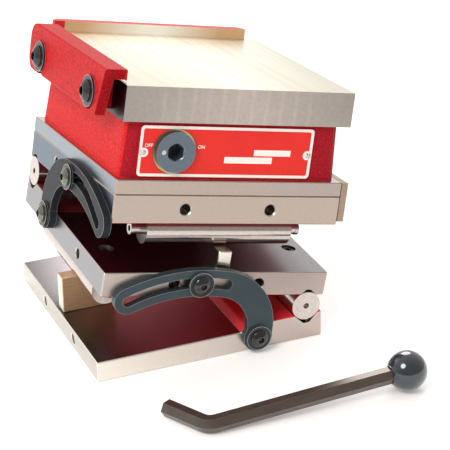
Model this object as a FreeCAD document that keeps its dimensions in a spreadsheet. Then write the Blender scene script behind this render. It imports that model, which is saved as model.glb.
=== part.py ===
import FreeCAD, Part
import math
import os
import Sketcher

# A permanent magnet chuck bolted to a compound sine plate, set up on two gauge
# blocks, with its hex key lying in front.  The origin is the centre of the base
# plate's underside: X to the right, Y to the back, Z up.  The plates are built
# in the closed position and then turned about the two hinge rolls.

doc = FreeCAD.newDocument("MagneticChuck")

# ---------------------------------------------------------------- the sizes

SIZES = (
    # the plates
    ("plate_length", 152.4, "all plates, left to right"),
    ("plate_width", 152.4, "all plates, front to back"),
    ("base_thickness", 13.5, "base plate under its low face"),
    ("middle_thickness", 15.9, "lower sine plate under its low face"),
    ("upper_thickness", 18.2, "upper sine plate"),
    ("land_rise", 3.9, "hinge land above the low face"),
    ("plate_edge", 0.6, "broken edges of the plates"),
    ("base_step", 56.0, "foot of the base plate's step from its right edge"),
    ("middle_step", 56.2, "foot of the lower sine plate's step from its rear edge"),
    # hinge rolls and sine rolls
    ("roll_diameter", 19.05, "hinge rolls and sine rolls"),
    ("roll_seat", 1.8, "depth of a sine roll in the plate above it"),
    ("roll_centres", 127.0, "hinge roll to sine roll"),
    ("roll_length", 98.0, "full diameter of a sine roll"),
    ("journal_length", 114.4, "sine roll over its end journals"),
    ("journal_diameter", 7.8, "end journals of a sine roll"),
    ("journal_neck_diameter", 7.2, "journal between the roll and its end collar"),
    ("journal_collar", 2.2, "length of the collar at a journal's end"),
    ("centre_hole_diameter", 3.8, "centre drilling in the roll ends"),
    ("centre_hole_depth", 5.0, "centre drilling in the roll ends"),
    ("lower_hinge_inset", 10.7, "lower hinge axis from the right edge"),
    ("upper_hinge_inset", 8.7, "upper hinge axis from the rear edge"),
    ("knuckle_length", 50.7, "each hinge knuckle"),
    ("knuckle_gap", 0.15, "between neighbouring knuckles"),
    ("notch_clearance", 0.5, "between a knuckle and the other plate's notch"),
    ("notch_flat", 4.0, "flat at the bottom of a notch"),
    ("hinge_pin_diameter", 8.0, "hinge pin"),
    ("hinge_pin_length", 90.0, "hinge pin"),
    ("running_gap", 0.05, "radial play of a running fit"),
    ("seat_gap", 0.02, "radial play of a fixed fit"),
    # gauge blocks
    ("lower_block_height", 25.0, "gauge block under the lower sine roll"),
    ("upper_block_height", 13.0, "gauge block under the upper sine roll"),
    ("block_length", 35.0, "gauge block section, long side"),
    ("block_width", 9.0, "gauge block section, short side"),
    ("block_edge", 0.5, "gauge block edge break"),
    ("block_lap", 15.0, "block end beyond the sine roll's axis"),
    ("upper_block_shift", 3.5, "upper block's centre to the right of the middle"),
    ("block_play", 0.05, "between a block and its roll"),
    # screws that hold the rolls
    ("roll_screw_pitch", 76.2, "between the two screws of a roll"),
    ("roll_screw_diameter", 4.8, "shank"),
    ("roll_screw_head", 8.2, "head diameter"),
    ("roll_screw_head_height", 4.8, "head height"),
    ("roll_screw_bite", 4.2, "thread in the roll"),
    ("roll_bore_diameter", 9.8, "counterbore"),
    ("roll_bore_depth", 6.0, "counterbore"),
    ("centre_screw_pitch", 25.4, "between the two screws of a centre knuckle"),
    # tapped holes for clamps and stops
    ("tapped_diameter", 6.8, "tapping size"),
    ("tapped_depth", 16.0, "full depth"),
    ("tapped_edge", 0.7, "countersink at the mouth"),
    ("tapped_pitch", 57.2, "between the two holes in a side"),
    # lock arms, given from the hinge axis and from the arm's own pivot
    ("arm_thickness", 5.0, "lock arm"),
    ("arm_gap", 0.3, "between an arm and the plates, and under a washer"),
    ("arm_half_width", 8.75, "half the band"),
    ("arm_boss_radius", 9.6, "round end at the pivot"),
    ("arm_band_radius", 108.5, "centreline of the slotted part"),
    ("arm_band_centre_reach", 56.7, "band centre, away from the hinge from the pivot"),
    ("arm_band_centre_drop", 60.6, "band centre, below the pivot"),
    ("arm_hook_radius", 33.0, "centreline of the hooked part"),
    ("arm_tip_reach", 86.0, "free end's centre from the pivot"),
    ("slot_width", 7.0, "slot in an arm"),
    ("slot_near_reach", 20.3, "slot end by the hook from the pivot"),
    ("front_slot_reach", 86.0, "far end of the front arm's slot from the pivot"),
    ("front_slot_radius", 100.0, "slot in the front arm"),
    ("front_slot_centre_reach", 56.24, "its centre from the pivot"),
    ("front_slot_centre_drop", 52.02, "its centre below the pivot"),
    ("side_slot_reach", 83.5, "far end of the side arm's slot from the pivot"),
    ("side_slot_radius", 60.0, "slot in the side arm"),
    ("side_slot_centre_reach", 51.73, "its centre from the pivot"),
    ("side_slot_centre_drop", 11.13, "its centre below the pivot"),
    ("side_arm_turn", -7.74, "side arm's angle in its plate"),
    ("front_pivot_reach", 35.7, "front arm's pivot from the lower hinge axis"),
    ("side_pivot_reach", 44.0, "side arm's pivot from the upper hinge axis"),
    ("pivot_drop", 12.1, "arm pivots below the hinge axis"),
    ("lock_reach", 78.8, "lock screws from the hinge axis, closed"),
    ("lock_rise", 18.3, "lock screws above the hinge axis, closed"),
    ("arm_screw_diameter", 4.8, "shank of the arm screws"),
    ("arm_screw_depth", 12.0, "arm screw in its plate"),
    ("arm_head_diameter", 11.1, "button head"),
    ("arm_head_height", 3.4, "button head"),
    ("arm_washer_diameter", 16.4, "washer"),
    ("arm_washer_thickness", 1.6, "washer"),
    ("arm_bore_play", 0.1, "radial play of an arm on its pivot screw"),
    # the chuck
    ("chuck_base_thickness", 9.2, "flange plate under the housing"),
    ("housing_height", 36.0, "cast housing"),
    ("housing_foot", 146.0, "housing at its foot, left to right"),
    ("housing_neck", 141.8, "housing at its top, left to right"),
    ("housing_width", 145.2, "housing, front to back"),
    ("housing_corner", 7.0, "upright edges"),
    ("cavity_length", 116.0, "space for the magnets, left to right"),
    ("cavity_width", 104.0, "space for the magnets, front to back"),
    ("well_length", 114.0, "space below the magnets, left to right"),
    ("well_width", 100.0, "space below the magnets, front to back"),
    ("housing_floor", 6.0, "floor under the magnets"),
    ("pole_thickness", 21.9, "pole plate"),
    ("pole_pitch", 9.7, "steel and brass repeat"),
    ("brass_width", 2.4, "brass spacer"),
    ("pole_count", 11, "brass spacers"),
    ("pole_shift", 2.6, "pole field left of the middle"),
    # the switch
    ("switch_left", 39.6, "switch axis left of the middle"),
    ("switch_rise", 17.6, "switch axis above the chuck base"),
    ("dial_diameter", 25.4, "front disc"),
    ("dial_proud", 3.0, "front disc ahead of the name plate"),
    ("socket_flats", 9.8, "hex socket across flats"),
    ("socket_depth", 14.0, "hex socket"),
    ("socket_edge", 0.8, "countersink of the socket"),
    ("shaft_diameter", 18.0, "front bearing"),
    ("tail_diameter", 12.0, "rear bearing"),
    ("crank_diameter", 14.0, "eccentric"),
    ("crank_throw", 3.175, "eccentric's offset"),
    ("crank_length", 26.0, "eccentric"),
    ("bush_flange", 28.0, "front bush flange"),
    ("bush_wall", 3.0, "bush walls"),
    ("tail_bush_length", 10.0, "rear bush"),
    ("index_pin_diameter", 2.8, "pin in the dial"),
    ("index_pin_reach", 8.2, "pin from the dial's centre"),
    ("index_pin_length", 2.9, "pin in the dial"),
    ("index_pin_proud", 0.4, "pin in the dial"),
    # magnets
    ("carrier_thickness", 1.8, "tray under the magnets"),
    ("carrier_length", 102.5, "tray, left to right"),
    ("carrier_play", 0.3, "tray and magnets in the housing"),
    ("magnet_width", 6.0, "magnet bar"),
    ("magnet_length", 96.0, "magnet bar"),
    ("magnet_pitch", 12.7, "between magnet bars"),
    ("magnet_count", 8, "magnet bars"),
    ("fork_play", 0.8, "between the eccentric and the tray's fork"),
    ("fork_wall", 5.0, "each leg of the fork"),
    ("fork_width", 22.0, "fork, front to back"),
    ("fork_depth", 16.5, "fork below the tray"),
    # name plate
    ("name_plate_length", 116.0, "name plate"),
    ("name_plate_height", 31.8, "name plate"),
    ("name_plate_thickness", 0.8, "name plate"),
    ("name_plate_left", 62.8, "its left end from the middle"),
    ("name_plate_foot", 1.7, "its lower edge above the chuck base"),
    ("name_plate_corner", 2.5, "its corner radius"),
    ("rivet_diameter", 3.0, "rivet heads"),
    ("rivet_height", 0.9, "rivet heads"),
    ("rivet_inset", 3.2, "rivets from the plate's ends"),
    # stop rails
    ("left_rail_length", 136.0, "left stop rail"),
    ("left_rail_wall", 6.8, "leg and lip"),
    ("left_rail_stand", 4.8, "leg from the pole plate"),
    ("left_rail_lap", 2.7, "lip over the pole plate"),
    ("left_rail_lift", 1.0, "lip above the pole plate"),
    ("left_rail_drop", 23.2, "leg below the top of the pole plate"),
    ("left_rail_slope", 10.5, "slope of the front end"),
    ("left_rail_round", 10.0, "round at the foot of the rear end"),
    ("left_rail_pad", 17.0, "pads at the screws"),
    ("pad_gap", 0.1, "between the pads and the pole plate"),
    ("rear_rail_length", 138.0, "rear stop rail"),
    ("rear_rail_shift", 1.0, "its middle left of the chuck's"),
    ("rear_rail_thickness", 8.4, "rear stop rail"),
    ("rear_rail_rise", 6.7, "above the pole plate"),
    ("rear_rail_drop", 22.2, "below the top of the pole plate"),
    ("rear_rail_corner", 5.0, "its upright back edges"),
    ("rail_edge", 1.2, "broken edges of the rails"),
    ("rail_slot_width", 8.6, "open slots"),
    ("rail_screw_pitch", 92.0, "between the screws of a rail"),
    ("rail_screw_diameter", 7.9, "shank"),
    ("rail_screw_depth", 10.0, "in the pole plate"),
    ("rail_head_diameter", 13.9, "button head"),
    ("rail_head_height", 4.2, "button head"),
    ("rail_washer_diameter", 19.4, "washer"),
    ("rail_washer_thickness", 1.6, "washer"),
    # the ground bar on the right
    ("side_bar_thickness", 4.3, "bar on the right"),
    ("side_bar_height", 25.2, "bar on the right"),
    ("side_bar_screw_pitch", 101.6, "between its screws"),
    ("side_bar_screw_head", 9.0, "flat heads"),
    # screws that hold the chuck together and down
    ("hold_down_diameter", 6.0, "shank"),
    ("hold_down_head", 10.0, "head diameter"),
    ("hold_down_head_height", 6.0, "head height"),
    ("hold_down_length", 18.0, "under the head"),
    ("hold_down_spread", 100.0, "between hold-down screws, each way"),
    ("tie_screw_diameter", 5.0, "shank"),
    ("tie_screw_head", 8.6, "head diameter"),
    ("tie_screw_head_height", 5.0, "head height"),
    ("tie_screw_length", 46.0, "under the head"),
    ("tie_spread_length", 130.0, "between tie screws, left to right"),
    ("tie_spread_width", 126.0, "between tie screws, front to back"),
    ("thread_gap", 0.05, "radial play drawn in the tapped holes"),
    ("socket_ratio", 0.5, "screw socket across flats to shank, about"),
    # the hex key
    ("key_flats", 9.5, "hex bar across flats"),
    ("key_long_leg", 131.0, "bend to knob centre"),
    ("key_short_leg", 33.8, "bend to tip"),
    ("key_bend", 64.0, "turn of the bend, degrees"),
    ("key_bend_radius", 8.0, "centreline of the bend"),
    ("key_knob_diameter", 25.4, "ball knob"),
    ("key_neck_diameter", 12.0, "knob's neck"),
    ("key_neck_length", 11.6, "knob centre to the end of its neck"),
    ("key_spigot_diameter", 7.8, "turned end inside the knob"),
    ("key_corner_left", 36.0, "bend left of the middle"),
    ("key_corner_ahead", 160.3, "bend ahead of the middle"),
    ("key_corner_rise", 5.7, "bend above the bench"),
)

sheet = doc.addObject("Spreadsheet::Sheet", "Sizes")
for row, (alias, number, note) in enumerate(SIZES, start=1):
    sheet.set("A%d" % row, note)
    sheet.set("B%d" % row, str(number))
    sheet.setAlias("B%d" % row, alias)
doc.recompute()


class Size:
    """A size with the sheet formula that gives it and its present value."""

    def __init__(self, formula, value):
        self.formula = formula
        self.value = value

    def __add__(self, other):
        other = as_size(other)
        return Size("(%s + %s)" % (self.formula, other.formula), self.value + other.value)

    def __sub__(self, other):
        other = as_size(other)
        return Size("(%s - %s)" % (self.formula, other.formula), self.value - other.value)

    def __mul__(self, other):
        other = as_size(other)
        return Size("(%s * %s)" % (self.formula, other.formula), self.value * other.value)

    def __truediv__(self, other):
        other = as_size(other)
        return Size("(%s / %s)" % (self.formula, other.formula), self.value / other.value)

    def __neg__(self):
        return Size("(0 - %s)" % self.formula, -self.value)

    __radd__ = __add__
    __rmul__ = __mul__

    def __rsub__(self, other):
        return as_size(other) - self


def as_size(number):
    return number if isinstance(number, Size) else Size(repr(float(number)), float(number))


class SheetSizes:
    """The sheet's cells by alias."""

    def __getattr__(self, alias):
        return Size("Sizes.%s" % alias, float(sheet.get(alias)))


s = SheetSizes()

# ------------------------------------------------------------ small builders

DIRECTIONS = {
    "left": FreeCAD.Vector(-1, 0, 0),
    "right": FreeCAD.Vector(1, 0, 0),
    "front": FreeCAD.Vector(0, -1, 0),
    "back": FreeCAD.Vector(0, 1, 0),
    "down": FreeCAD.Vector(0, 0, -1),
    "up": FreeCAD.Vector(0, 0, 1),
}


def bind(thing, path, size):
    """Tie one property of a document object to the sheet."""
    thing.setExpression(path, as_size(size).formula)


def place(thing, point, facing="up", turn=0.0):
    """Put a piece that was drawn along +Z at a point, facing a direction."""
    faced = FreeCAD.Rotation(DIRECTIONS["up"], DIRECTIONS[facing])
    spun = FreeCAD.Rotation(DIRECTIONS["up"], turn)
    thing.Placement = FreeCAD.Placement(FreeCAD.Vector(), faced.multiply(spun))
    for axis, size in zip("xyz", point):
        bind(thing, "Placement.Base.%s" % axis, size)
    return thing


def box(name, low, lengths):
    solid = doc.addObject("Part::Box", name)
    for path, size in zip(("Length", "Width", "Height"), lengths):
        bind(solid, path, size)
    return place(solid, low)


def eased(name, blank, size, keep=None):
    """Break the outer edges of a plate; keep picks out edges to leave sharp."""
    doc.recompute()
    easing = doc.addObject("Part::Chamfer", name)
    easing.Base = blank
    chosen = []
    for number, edge in enumerate(blank.Shape.Edges, start=1):
        if keep is None or not keep(edge):
            chosen.append((number, size.value, size.value))
    easing.Edges = chosen
    return easing


def centred_box(name, centre, lengths):
    low = [middle - length / 2 for middle, length in zip(centre, lengths)]
    return box(name, low, lengths)


def rod(name, start, facing, diameter, length):
    solid = doc.addObject("Part::Cylinder", name)
    bind(solid, "Radius", diameter / 2)
    bind(solid, "Height", length)
    return place(solid, start, facing)


def cone(name, start, facing, first_radius, last_radius, length):
    solid = doc.addObject("Part::Cone", name)
    bind(solid, "Radius1", first_radius)
    bind(solid, "Radius2", last_radius)
    bind(solid, "Height", length)
    return place(solid, start, facing)


def hexagon(name, start, facing, flats, length, turn=0.0):
    solid = doc.addObject("Part::Prism", name)
    bind(solid, "Circumradius", flats / math.sqrt(3))
    bind(solid, "Height", length)
    return place(solid, start, facing, turn)


def fuse(name, pieces):
    whole = doc.addObject("Part::MultiFuse", name)
    whole.Shapes = pieces
    return whole


def cut(name, base, tools):
    whole = doc.addObject("Part::Cut", name)
    whole.Base = base
    whole.Tool = tools[0] if len(tools) == 1 else fuse(name + "_tools", tools)
    return whole


def common(name, first, second):
    whole = doc.addObject("Part::Common", name)
    whole.Base = first
    whole.Tool = second
    return whole


def group(name, pieces):
    """Like pieces that stay separate solids of one node."""
    whole = doc.addObject("Part::Compound", name)
    whole.Links = pieces
    return whole


def origin_plane(body, role):
    return next(feature for feature in body.Origin.OriginFeatures if feature.Role == role)


def outline(body, name, role, points):
    """A closed sketch whose corners are tied to the sheet."""
    sketch = body.newObject("Sketcher::SketchObject", name)
    sketch.AttachmentSupport = [(origin_plane(body, role), "")]
    sketch.MapMode = "FlatFace"
    count = len(points)
    corners = [FreeCAD.Vector(x.value, y.value, 0) for x, y in points]
    for index in range(count):
        sketch.addGeometry(Part.LineSegment(corners[index], corners[(index + 1) % count]))
    for index in range(count):
        following = (index + 1) % count
        sketch.addConstraint(Sketcher.Constraint("Coincident", index, 2, following, 1))
    for index, (x, y) in enumerate(points):
        for kind, size in (("DistanceX", x), ("DistanceY", y)):
            added = sketch.addConstraint(Sketcher.Constraint(kind, -1, 1, index, 1, size.value))
            sketch.setExpression("Constraints[%d]" % added, size.formula)
    return sketch


def extruded(name, role, points, length):
    """A body padded both ways from an origin plane."""
    body = doc.addObject("PartDesign::Body", name)
    sketch = outline(body, name + "_outline", role, [(as_size(x), as_size(y)) for x, y in points])
    pad = body.newObject("PartDesign::Pad", name + "_pad")
    pad.Profile = sketch
    pad.SideType = "Symmetric"
    bind(pad, "Length", length)
    doc.recompute()
    return body


def upright_edges(shape):
    """Names of the edges that run mostly up and down."""
    names = []
    for number, edge in enumerate(shape.Edges, start=1):
        span = edge.Vertexes[-1].Point - edge.Vertexes[0].Point
        if abs(span.z) > 0.9 * span.Length and span.Length > 0:
            names.append("Edge%d" % number)
    return names


def ring(name, start, facing, outer, inner, length):
    """A plain washer, bush or collar."""
    overrun = as_size(1.0)
    whole = rod(name + "_blank", as_point(start), facing, outer, length)
    away = [coordinate - component * overrun for coordinate, component in
            zip(as_point(start), DIRECTIONS[facing])]
    hole = rod(name + "_hole", away, facing, inner, length + 2 * overrun)
    return cut(name, whole, [hole])


def as_point(point):
    return [as_size(coordinate) for coordinate in point]


NODES = []


def node(label, shape_object, unit):
    """Name a finished sub-part and turn it with the plate that carries it."""
    if any("Placement" in path for path, formula in shape_object.ExpressionEngine):
        shape_object.Label = label + "_as_drawn"
        shape_object = group(label + "_carried", [shape_object])
    shape_object.Label = label
    shape_object.Placement = unit.multiply(shape_object.Placement)
    NODES.append(shape_object)
    return shape_object


# ---------------------------------------------------------- levels and axes

base_top = s.base_thickness
lower_axis_x = s.plate_length / 2 - s.lower_hinge_inset
lower_axis_z = base_top + s.roll_diameter / 2
lower_roll_x = lower_axis_x - s.roll_centres
middle_foot = base_top + s.roll_diameter - s.roll_seat
middle_top = middle_foot + s.middle_thickness
upper_axis_y = s.plate_width / 2 - s.upper_hinge_inset
upper_axis_z = middle_top + s.roll_diameter / 2
upper_roll_y = upper_axis_y - s.roll_centres
upper_foot = middle_top + s.roll_diameter - s.roll_seat
upper_top = upper_foot + s.upper_thickness
chuck_base_top = upper_top + s.chuck_base_thickness
pole_foot = chuck_base_top + s.housing_height
pole_top = pole_foot + s.pole_thickness
front = -s.plate_width / 2
left = -s.plate_length / 2
arm_plane = s.arm_gap + s.arm_thickness
washer_plane = arm_plane + s.arm_gap
head_plane = washer_plane + s.arm_washer_thickness


def turned(point, axis, degrees):
    centre = FreeCAD.Vector(*[size.value for size in as_point(point)])
    return FreeCAD.Placement(FreeCAD.Vector(), FreeCAD.Rotation(axis, degrees), centre)


def sine_angle(block_height):
    """Tilt that a gauge block gives under the sine roll."""
    return math.degrees(math.asin((block_height + s.block_play).value / s.roll_centres.value))


on_base = FreeCAD.Placement()
on_middle = turned((lower_axis_x, 0, lower_axis_z), DIRECTIONS["back"], sine_angle(s.lower_block_height))
on_upper = on_middle.multiply(
    turned((0, upper_axis_y, upper_axis_z), DIRECTIONS["left"], sine_angle(s.upper_block_height)))

# ------------------------------------------------------------- hole cutters


def tapped_hole(name, mouth, facing, diameter, depth, edge):
    """Cutter for a tapped hole with a countersunk mouth, open towards facing."""
    inward = {"left": "right", "front": "back", "right": "left", "back": "front",
              "up": "down", "down": "up"}[facing]
    bore = rod(name + "_bore", mouth, inward, diameter, depth)
    sink = cone(name + "_sink", mouth, inward, diameter / 2 + edge, diameter / 2, edge)
    return fuse(name, [bore, sink])


def side_holes(name, middle_z):
    """Cutters for the pairs of tapped holes in the front, back and left of a plate."""
    cutters = []
    for side in (-1, 1):
        offset = side * s.tapped_pitch / 2
        mouths = (("front", (offset, front, middle_z)), ("back", (offset, -front, middle_z)),
                  ("left", (left, offset, middle_z)))
        for facing, mouth in mouths:
            cutters.append(tapped_hole("%s_%s_hole" % (name, facing), as_point(mouth), facing,
                                       s.tapped_diameter, s.tapped_depth, s.tapped_edge))
    return cutters


def screw_pocket(name, seat, facing, shank, head, through, open_run):
    """Cutter for a counterbored screw hole: seat is the face under the head."""
    inward = "down" if facing == "up" else "up"
    mouth = rod(name + "_mouth", seat, facing, head, open_run)
    bore = rod(name + "_bore", seat, inward, shank, through)
    return fuse(name, [mouth, bore])


def screw_hole(name, mouth, facing, diameter, depth):
    """Cutter for a blind hole that a drawn screw fills."""
    inward = {"left": "right", "front": "back", "right": "left", "back": "front",
              "up": "down", "down": "up"}[facing]
    return rod(name, mouth, inward, diameter + 2 * s.thread_gap, depth + 1.0)


# ------------------------------------------------------------------- screws


def screw_socket(name, top, flats, depth):
    return hexagon(name, (as_size(0), as_size(0), top - depth), "up", flats, depth + 1.0)


def button_screw(name, seat, facing, shank, length, head, height):
    """Button head screw drawn from the face under its head."""
    rim = height * 0.28
    dome = height - rim
    dome_radius = (head * head / 4 + dome * dome) / (dome * 2)
    blank = rod(name + "_blank", as_point((0, 0, 0)), "up", head, height)
    ball = doc.addObject("Part::Sphere", name + "_ball")
    bind(ball, "Radius", dome_radius)
    place(ball, (as_size(0), as_size(0), height - dome_radius))
    domed = common(name + "_domed", blank, ball)
    shaft = rod(name + "_shaft", (as_size(0), as_size(0), -length), "up", shank, length + rim)
    solid = fuse(name + "_solid", [domed, shaft])
    whole = cut(name, solid, [screw_socket(name + "_socket", height, head * 0.4, height * 0.62)])
    return place(whole, seat, facing)


def cap_screw(name, seat, facing, shank, length, head, height):
    """Socket head cap screw drawn from the face under its head."""
    blank = rod(name + "_blank", as_point((0, 0, 0)), "up", head, height)
    shaft = rod(name + "_shaft", (as_size(0), as_size(0), -length), "up", shank, length + height / 2)
    solid = fuse(name + "_solid", [blank, shaft])
    whole = cut(name, solid, [screw_socket(name + "_socket", height, head * s.socket_ratio, height * 0.5)])
    return place(whole, seat, facing)


# ------------------------------------------------------------------- notches


def notch_cutter(name, axis_point, along, radius, length):
    """Square bar on edge about a hinge axis, with its upper and lower corners cut flat."""
    flat_reach = radius * math.sqrt(2) - s.notch_flat / 2
    bar = doc.addObject("Part::Box", name + "_bar")
    bind(bar, "Length", radius * 2)
    bind(bar, "Width", length)
    bind(bar, "Height", radius * 2)
    direction = DIRECTIONS["back"] if along == "back" else DIRECTIONS["right"]
    half = radius.value
    start = FreeCAD.Vector(-half, -length.value / 2, -half)
    upended = FreeCAD.Placement(FreeCAD.Vector(), FreeCAD.Rotation(DIRECTIONS["back"], 45))
    bar.Placement = upended.multiply(FreeCAD.Placement(start, FreeCAD.Rotation()))
    slab = centred_box(name + "_slab", as_point((0, 0, 0)), (radius * 4, length, flat_reach * 2))
    whole = common(name, bar, slab)
    swing = FreeCAD.Rotation() if along == "back" else FreeCAD.Rotation(DIRECTIONS["up"], -90)
    whole.Placement = FreeCAD.Placement(FreeCAD.Vector(), swing)
    for axis, size in zip("xyz", axis_point):
        bind(whole, "Placement.Base.%s" % axis, size)
    return whole


def hinge_notch(name, axis_point, along, seat_at_ends):
    """Notch along a hinge: snug where its own knuckles sit, clear of the others."""
    snug = s.roll_diameter / 2
    clear = snug + s.notch_clearance
    whole_length = s.plate_width + 2.0
    cutters = [notch_cutter(name + "_snug", axis_point, along, snug, whole_length)]
    spans = []
    centre_span = s.knuckle_length + 2 * s.knuckle_gap
    if seat_at_ends:
        spans.append((as_size(0), centre_span))
    else:
        end_span = (whole_length - s.knuckle_length) / 2
        for side in (-1, 1):
            spans.append((side * (s.knuckle_length + end_span) / 2, end_span))
    for number, (shift, span) in enumerate(spans, start=1):
        point = list(axis_point)
        index = 1 if along == "back" else 0
        point[index] = point[index] + shift
        cutters.append(notch_cutter("%s_clear%d" % (name, number), point, along, clear, span))
    return cutters


# --------------------------------------------------------------- base plate


def make_base_plate():
    """Ground plate with a raised hinge land on its right."""
    step_x = s.plate_length / 2 - s.base_step
    land_top = base_top + s.land_rise
    points = ((left, 0), (-left, 0), (-left, land_top), (step_x + s.land_rise, land_top),
              (step_x, base_top), (left, base_top))
    profile = extruded("base_profile", "XZ_Plane", points, s.plate_width)

    def at_step_foot(edge):
        return edge.BoundBox.ZMax < base_top.value + 0.1 and abs(edge.BoundBox.Center.x - step_x.value) < 0.1

    blank = eased("base_blank", profile, s.plate_edge, at_step_foot)
    axis = as_point((lower_axis_x, 0, lower_axis_z))
    cutters = hinge_notch("base_notch", axis, "back", False)
    for side in (-1, 1):
        offset = side * s.tapped_pitch / 2
        cutters.append(tapped_hole("base_hole", as_point((left, offset, base_top / 2)), "left",
                                   s.tapped_diameter, s.tapped_depth, s.tapped_edge))
        seat = as_point((lower_axis_x, side * s.centre_screw_pitch / 2, s.roll_bore_depth))
        cutters.append(screw_pocket("base_pocket", seat, "down", s.roll_screw_diameter + 0.4,
                                    s.roll_bore_diameter, base_top, s.roll_bore_depth + 1.0))
    cutters.append(screw_hole("base_pivot_hole", front_pivot, "front", s.arm_screw_diameter,
                              s.arm_screw_depth))
    node("base_plate", cut("base_plate", blank, cutters), on_base)


# ------------------------------------------------------------- hinge knuckles


def knuckle_holes(name, axis_point, along, shifts, seat_side):
    """Tapped holes for the screws that hold a knuckle, from above or below."""
    cutters = []
    for number, shift in enumerate(shifts, start=1):
        point = list(axis_point)
        index = 1 if along == "back" else 0
        point[index] = point[index] + shift
        reach = s.roll_diameter / 2 - s.roll_screw_bite - 0.4
        sign = 1 if seat_side == "up" else -1
        point[2] = point[2] + sign * reach
        cutters.append(rod("%s_thread%d" % (name, number), point, seat_side,
                           s.roll_screw_diameter + 2 * s.thread_gap, s.roll_diameter))
    return cutters


def along_point(axis_point, along, shift):
    point = list(axis_point)
    index = 1 if along == "back" else 0
    point[index] = point[index] + shift
    return point


def make_hinge(name, axis_point, along, below, above):
    """Three knuckles on one pin: the ends belong to the plate above."""
    opposite = "front" if along == "back" else "left"
    half = s.knuckle_length / 2
    centre_start = along_point(axis_point, along, -half)
    blank = rod(name + "_centre_blank", centre_start, along, s.roll_diameter, s.knuckle_length)
    pin_hole = rod(name + "_centre_bore", along_point(axis_point, along, -half - 1.0), along,
                   s.hinge_pin_diameter + 2 * s.seat_gap, s.knuckle_length + 2.0)
    shifts = [side * s.centre_screw_pitch / 2 for side in (-1, 1)]
    threads = knuckle_holes(name + "_centre", axis_point, along, shifts, "down")
    node(name + "_centre_knuckle", cut(name + "_centre_knuckle", blank, [pin_hole] + threads), below)
    pin = rod(name + "_pin", along_point(axis_point, along, -s.hinge_pin_length / 2), along,
              s.hinge_pin_diameter, s.hinge_pin_length)
    node(name + "_pin", pin, below)
    ends = []
    for side, facing in ((-1, opposite), (1, along)):
        start = along_point(axis_point, along, side * (half + s.knuckle_gap))
        end_length = s.plate_width / 2 - half - s.knuckle_gap
        tag = "%s_end%d" % (name, side + 2)
        end_blank = rod(tag + "_blank", start, facing, s.roll_diameter, end_length)
        bore = rod(tag + "_bore", start, facing, s.hinge_pin_diameter + 2 * s.running_gap,
                   s.hinge_pin_length / 2 - half + 0.5)
        mouth = along_point(axis_point, along, side * (s.plate_width / 2 - s.centre_hole_depth))
        centre_hole = rod(tag + "_centre", mouth, facing, s.centre_hole_diameter,
                          s.centre_hole_depth + 1.0)
        thread = knuckle_holes(tag, axis_point, along, [side * s.roll_screw_pitch / 2], "up")
        ends.append(cut(tag, end_blank, [bore, centre_hole] + thread))
    node(name + "_end_knuckles", group(name + "_end_knuckles", ends), above)


# ----------------------------------------------------------------- sine roll


def make_sine_roll(name, axis_point, along, unit):
    """Ground roll with a necked journal at each end and tapped holes for its screws."""
    full = rod(name + "_full", along_point(axis_point, along, -s.roll_length / 2), along,
               s.roll_diameter, s.roll_length)
    journals = [rod(name + "_journals", along_point(axis_point, along, -s.journal_length / 2), along,
                    s.journal_neck_diameter, s.journal_length)]
    for side, shift in ((-1, as_size(0)), (1, -s.journal_collar)):
        start = along_point(axis_point, along, side * s.journal_length / 2 + shift)
        journals.append(rod("%s_collar%d" % (name, side + 2), start, along,
                            s.journal_diameter, s.journal_collar))
    cutters = knuckle_holes(name, axis_point, along,
                            [side * s.roll_screw_pitch / 2 for side in (-1, 1)], "up")
    opposite = "front" if along == "back" else "left"
    for side, facing in ((-1, opposite), (1, along)):
        start = along_point(axis_point, along, side * (s.journal_length / 2 - s.centre_hole_depth))
        cutters.append(rod("%s_centre%d" % (name, side + 2), start, facing, s.centre_hole_diameter,
                           s.centre_hole_depth + 1.0))
    node(name, cut(name, fuse(name + "_solid", [full] + journals), cutters), unit)


def roll_groove(name, axis_point, along):
    """Cutter for the shallow groove that a sine roll sits in."""
    depth = s.roll_seat
    radius = s.roll_diameter / 2
    half_chord = math.sqrt(radius.value ** 2 - (radius - depth).value ** 2) + 0.3
    length = s.roll_length + 1.0
    width = as_size(2 * half_chord)
    lengths = (width, length, s.roll_diameter) if along == "back" else (length, width, s.roll_diameter)
    return centred_box(name, axis_point, lengths)


# -------------------------------------------------------- lower sine plate


def roll_screw_places(axis_point, along):
    return [along_point(axis_point, along, side * s.roll_screw_pitch / 2) for side in (-1, 1)]


def make_roll_screws(name, places, facing, seat_z, unit):
    """Cap screws that hold the rolls of one plate."""
    screws = []
    sign = 1 if facing == "up" else -1
    for number, (x, y, z) in enumerate(places, start=1):
        roll_surface = z + sign * s.roll_diameter / 2
        length = sign * (seat_z - roll_surface) + s.roll_screw_bite
        screws.append(cap_screw("%s_%d" % (name, number), (x, y, seat_z), facing,
                                s.roll_screw_diameter, length, s.roll_screw_head,
                                s.roll_screw_head_height))
    node(name, group(name, screws), unit)


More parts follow.
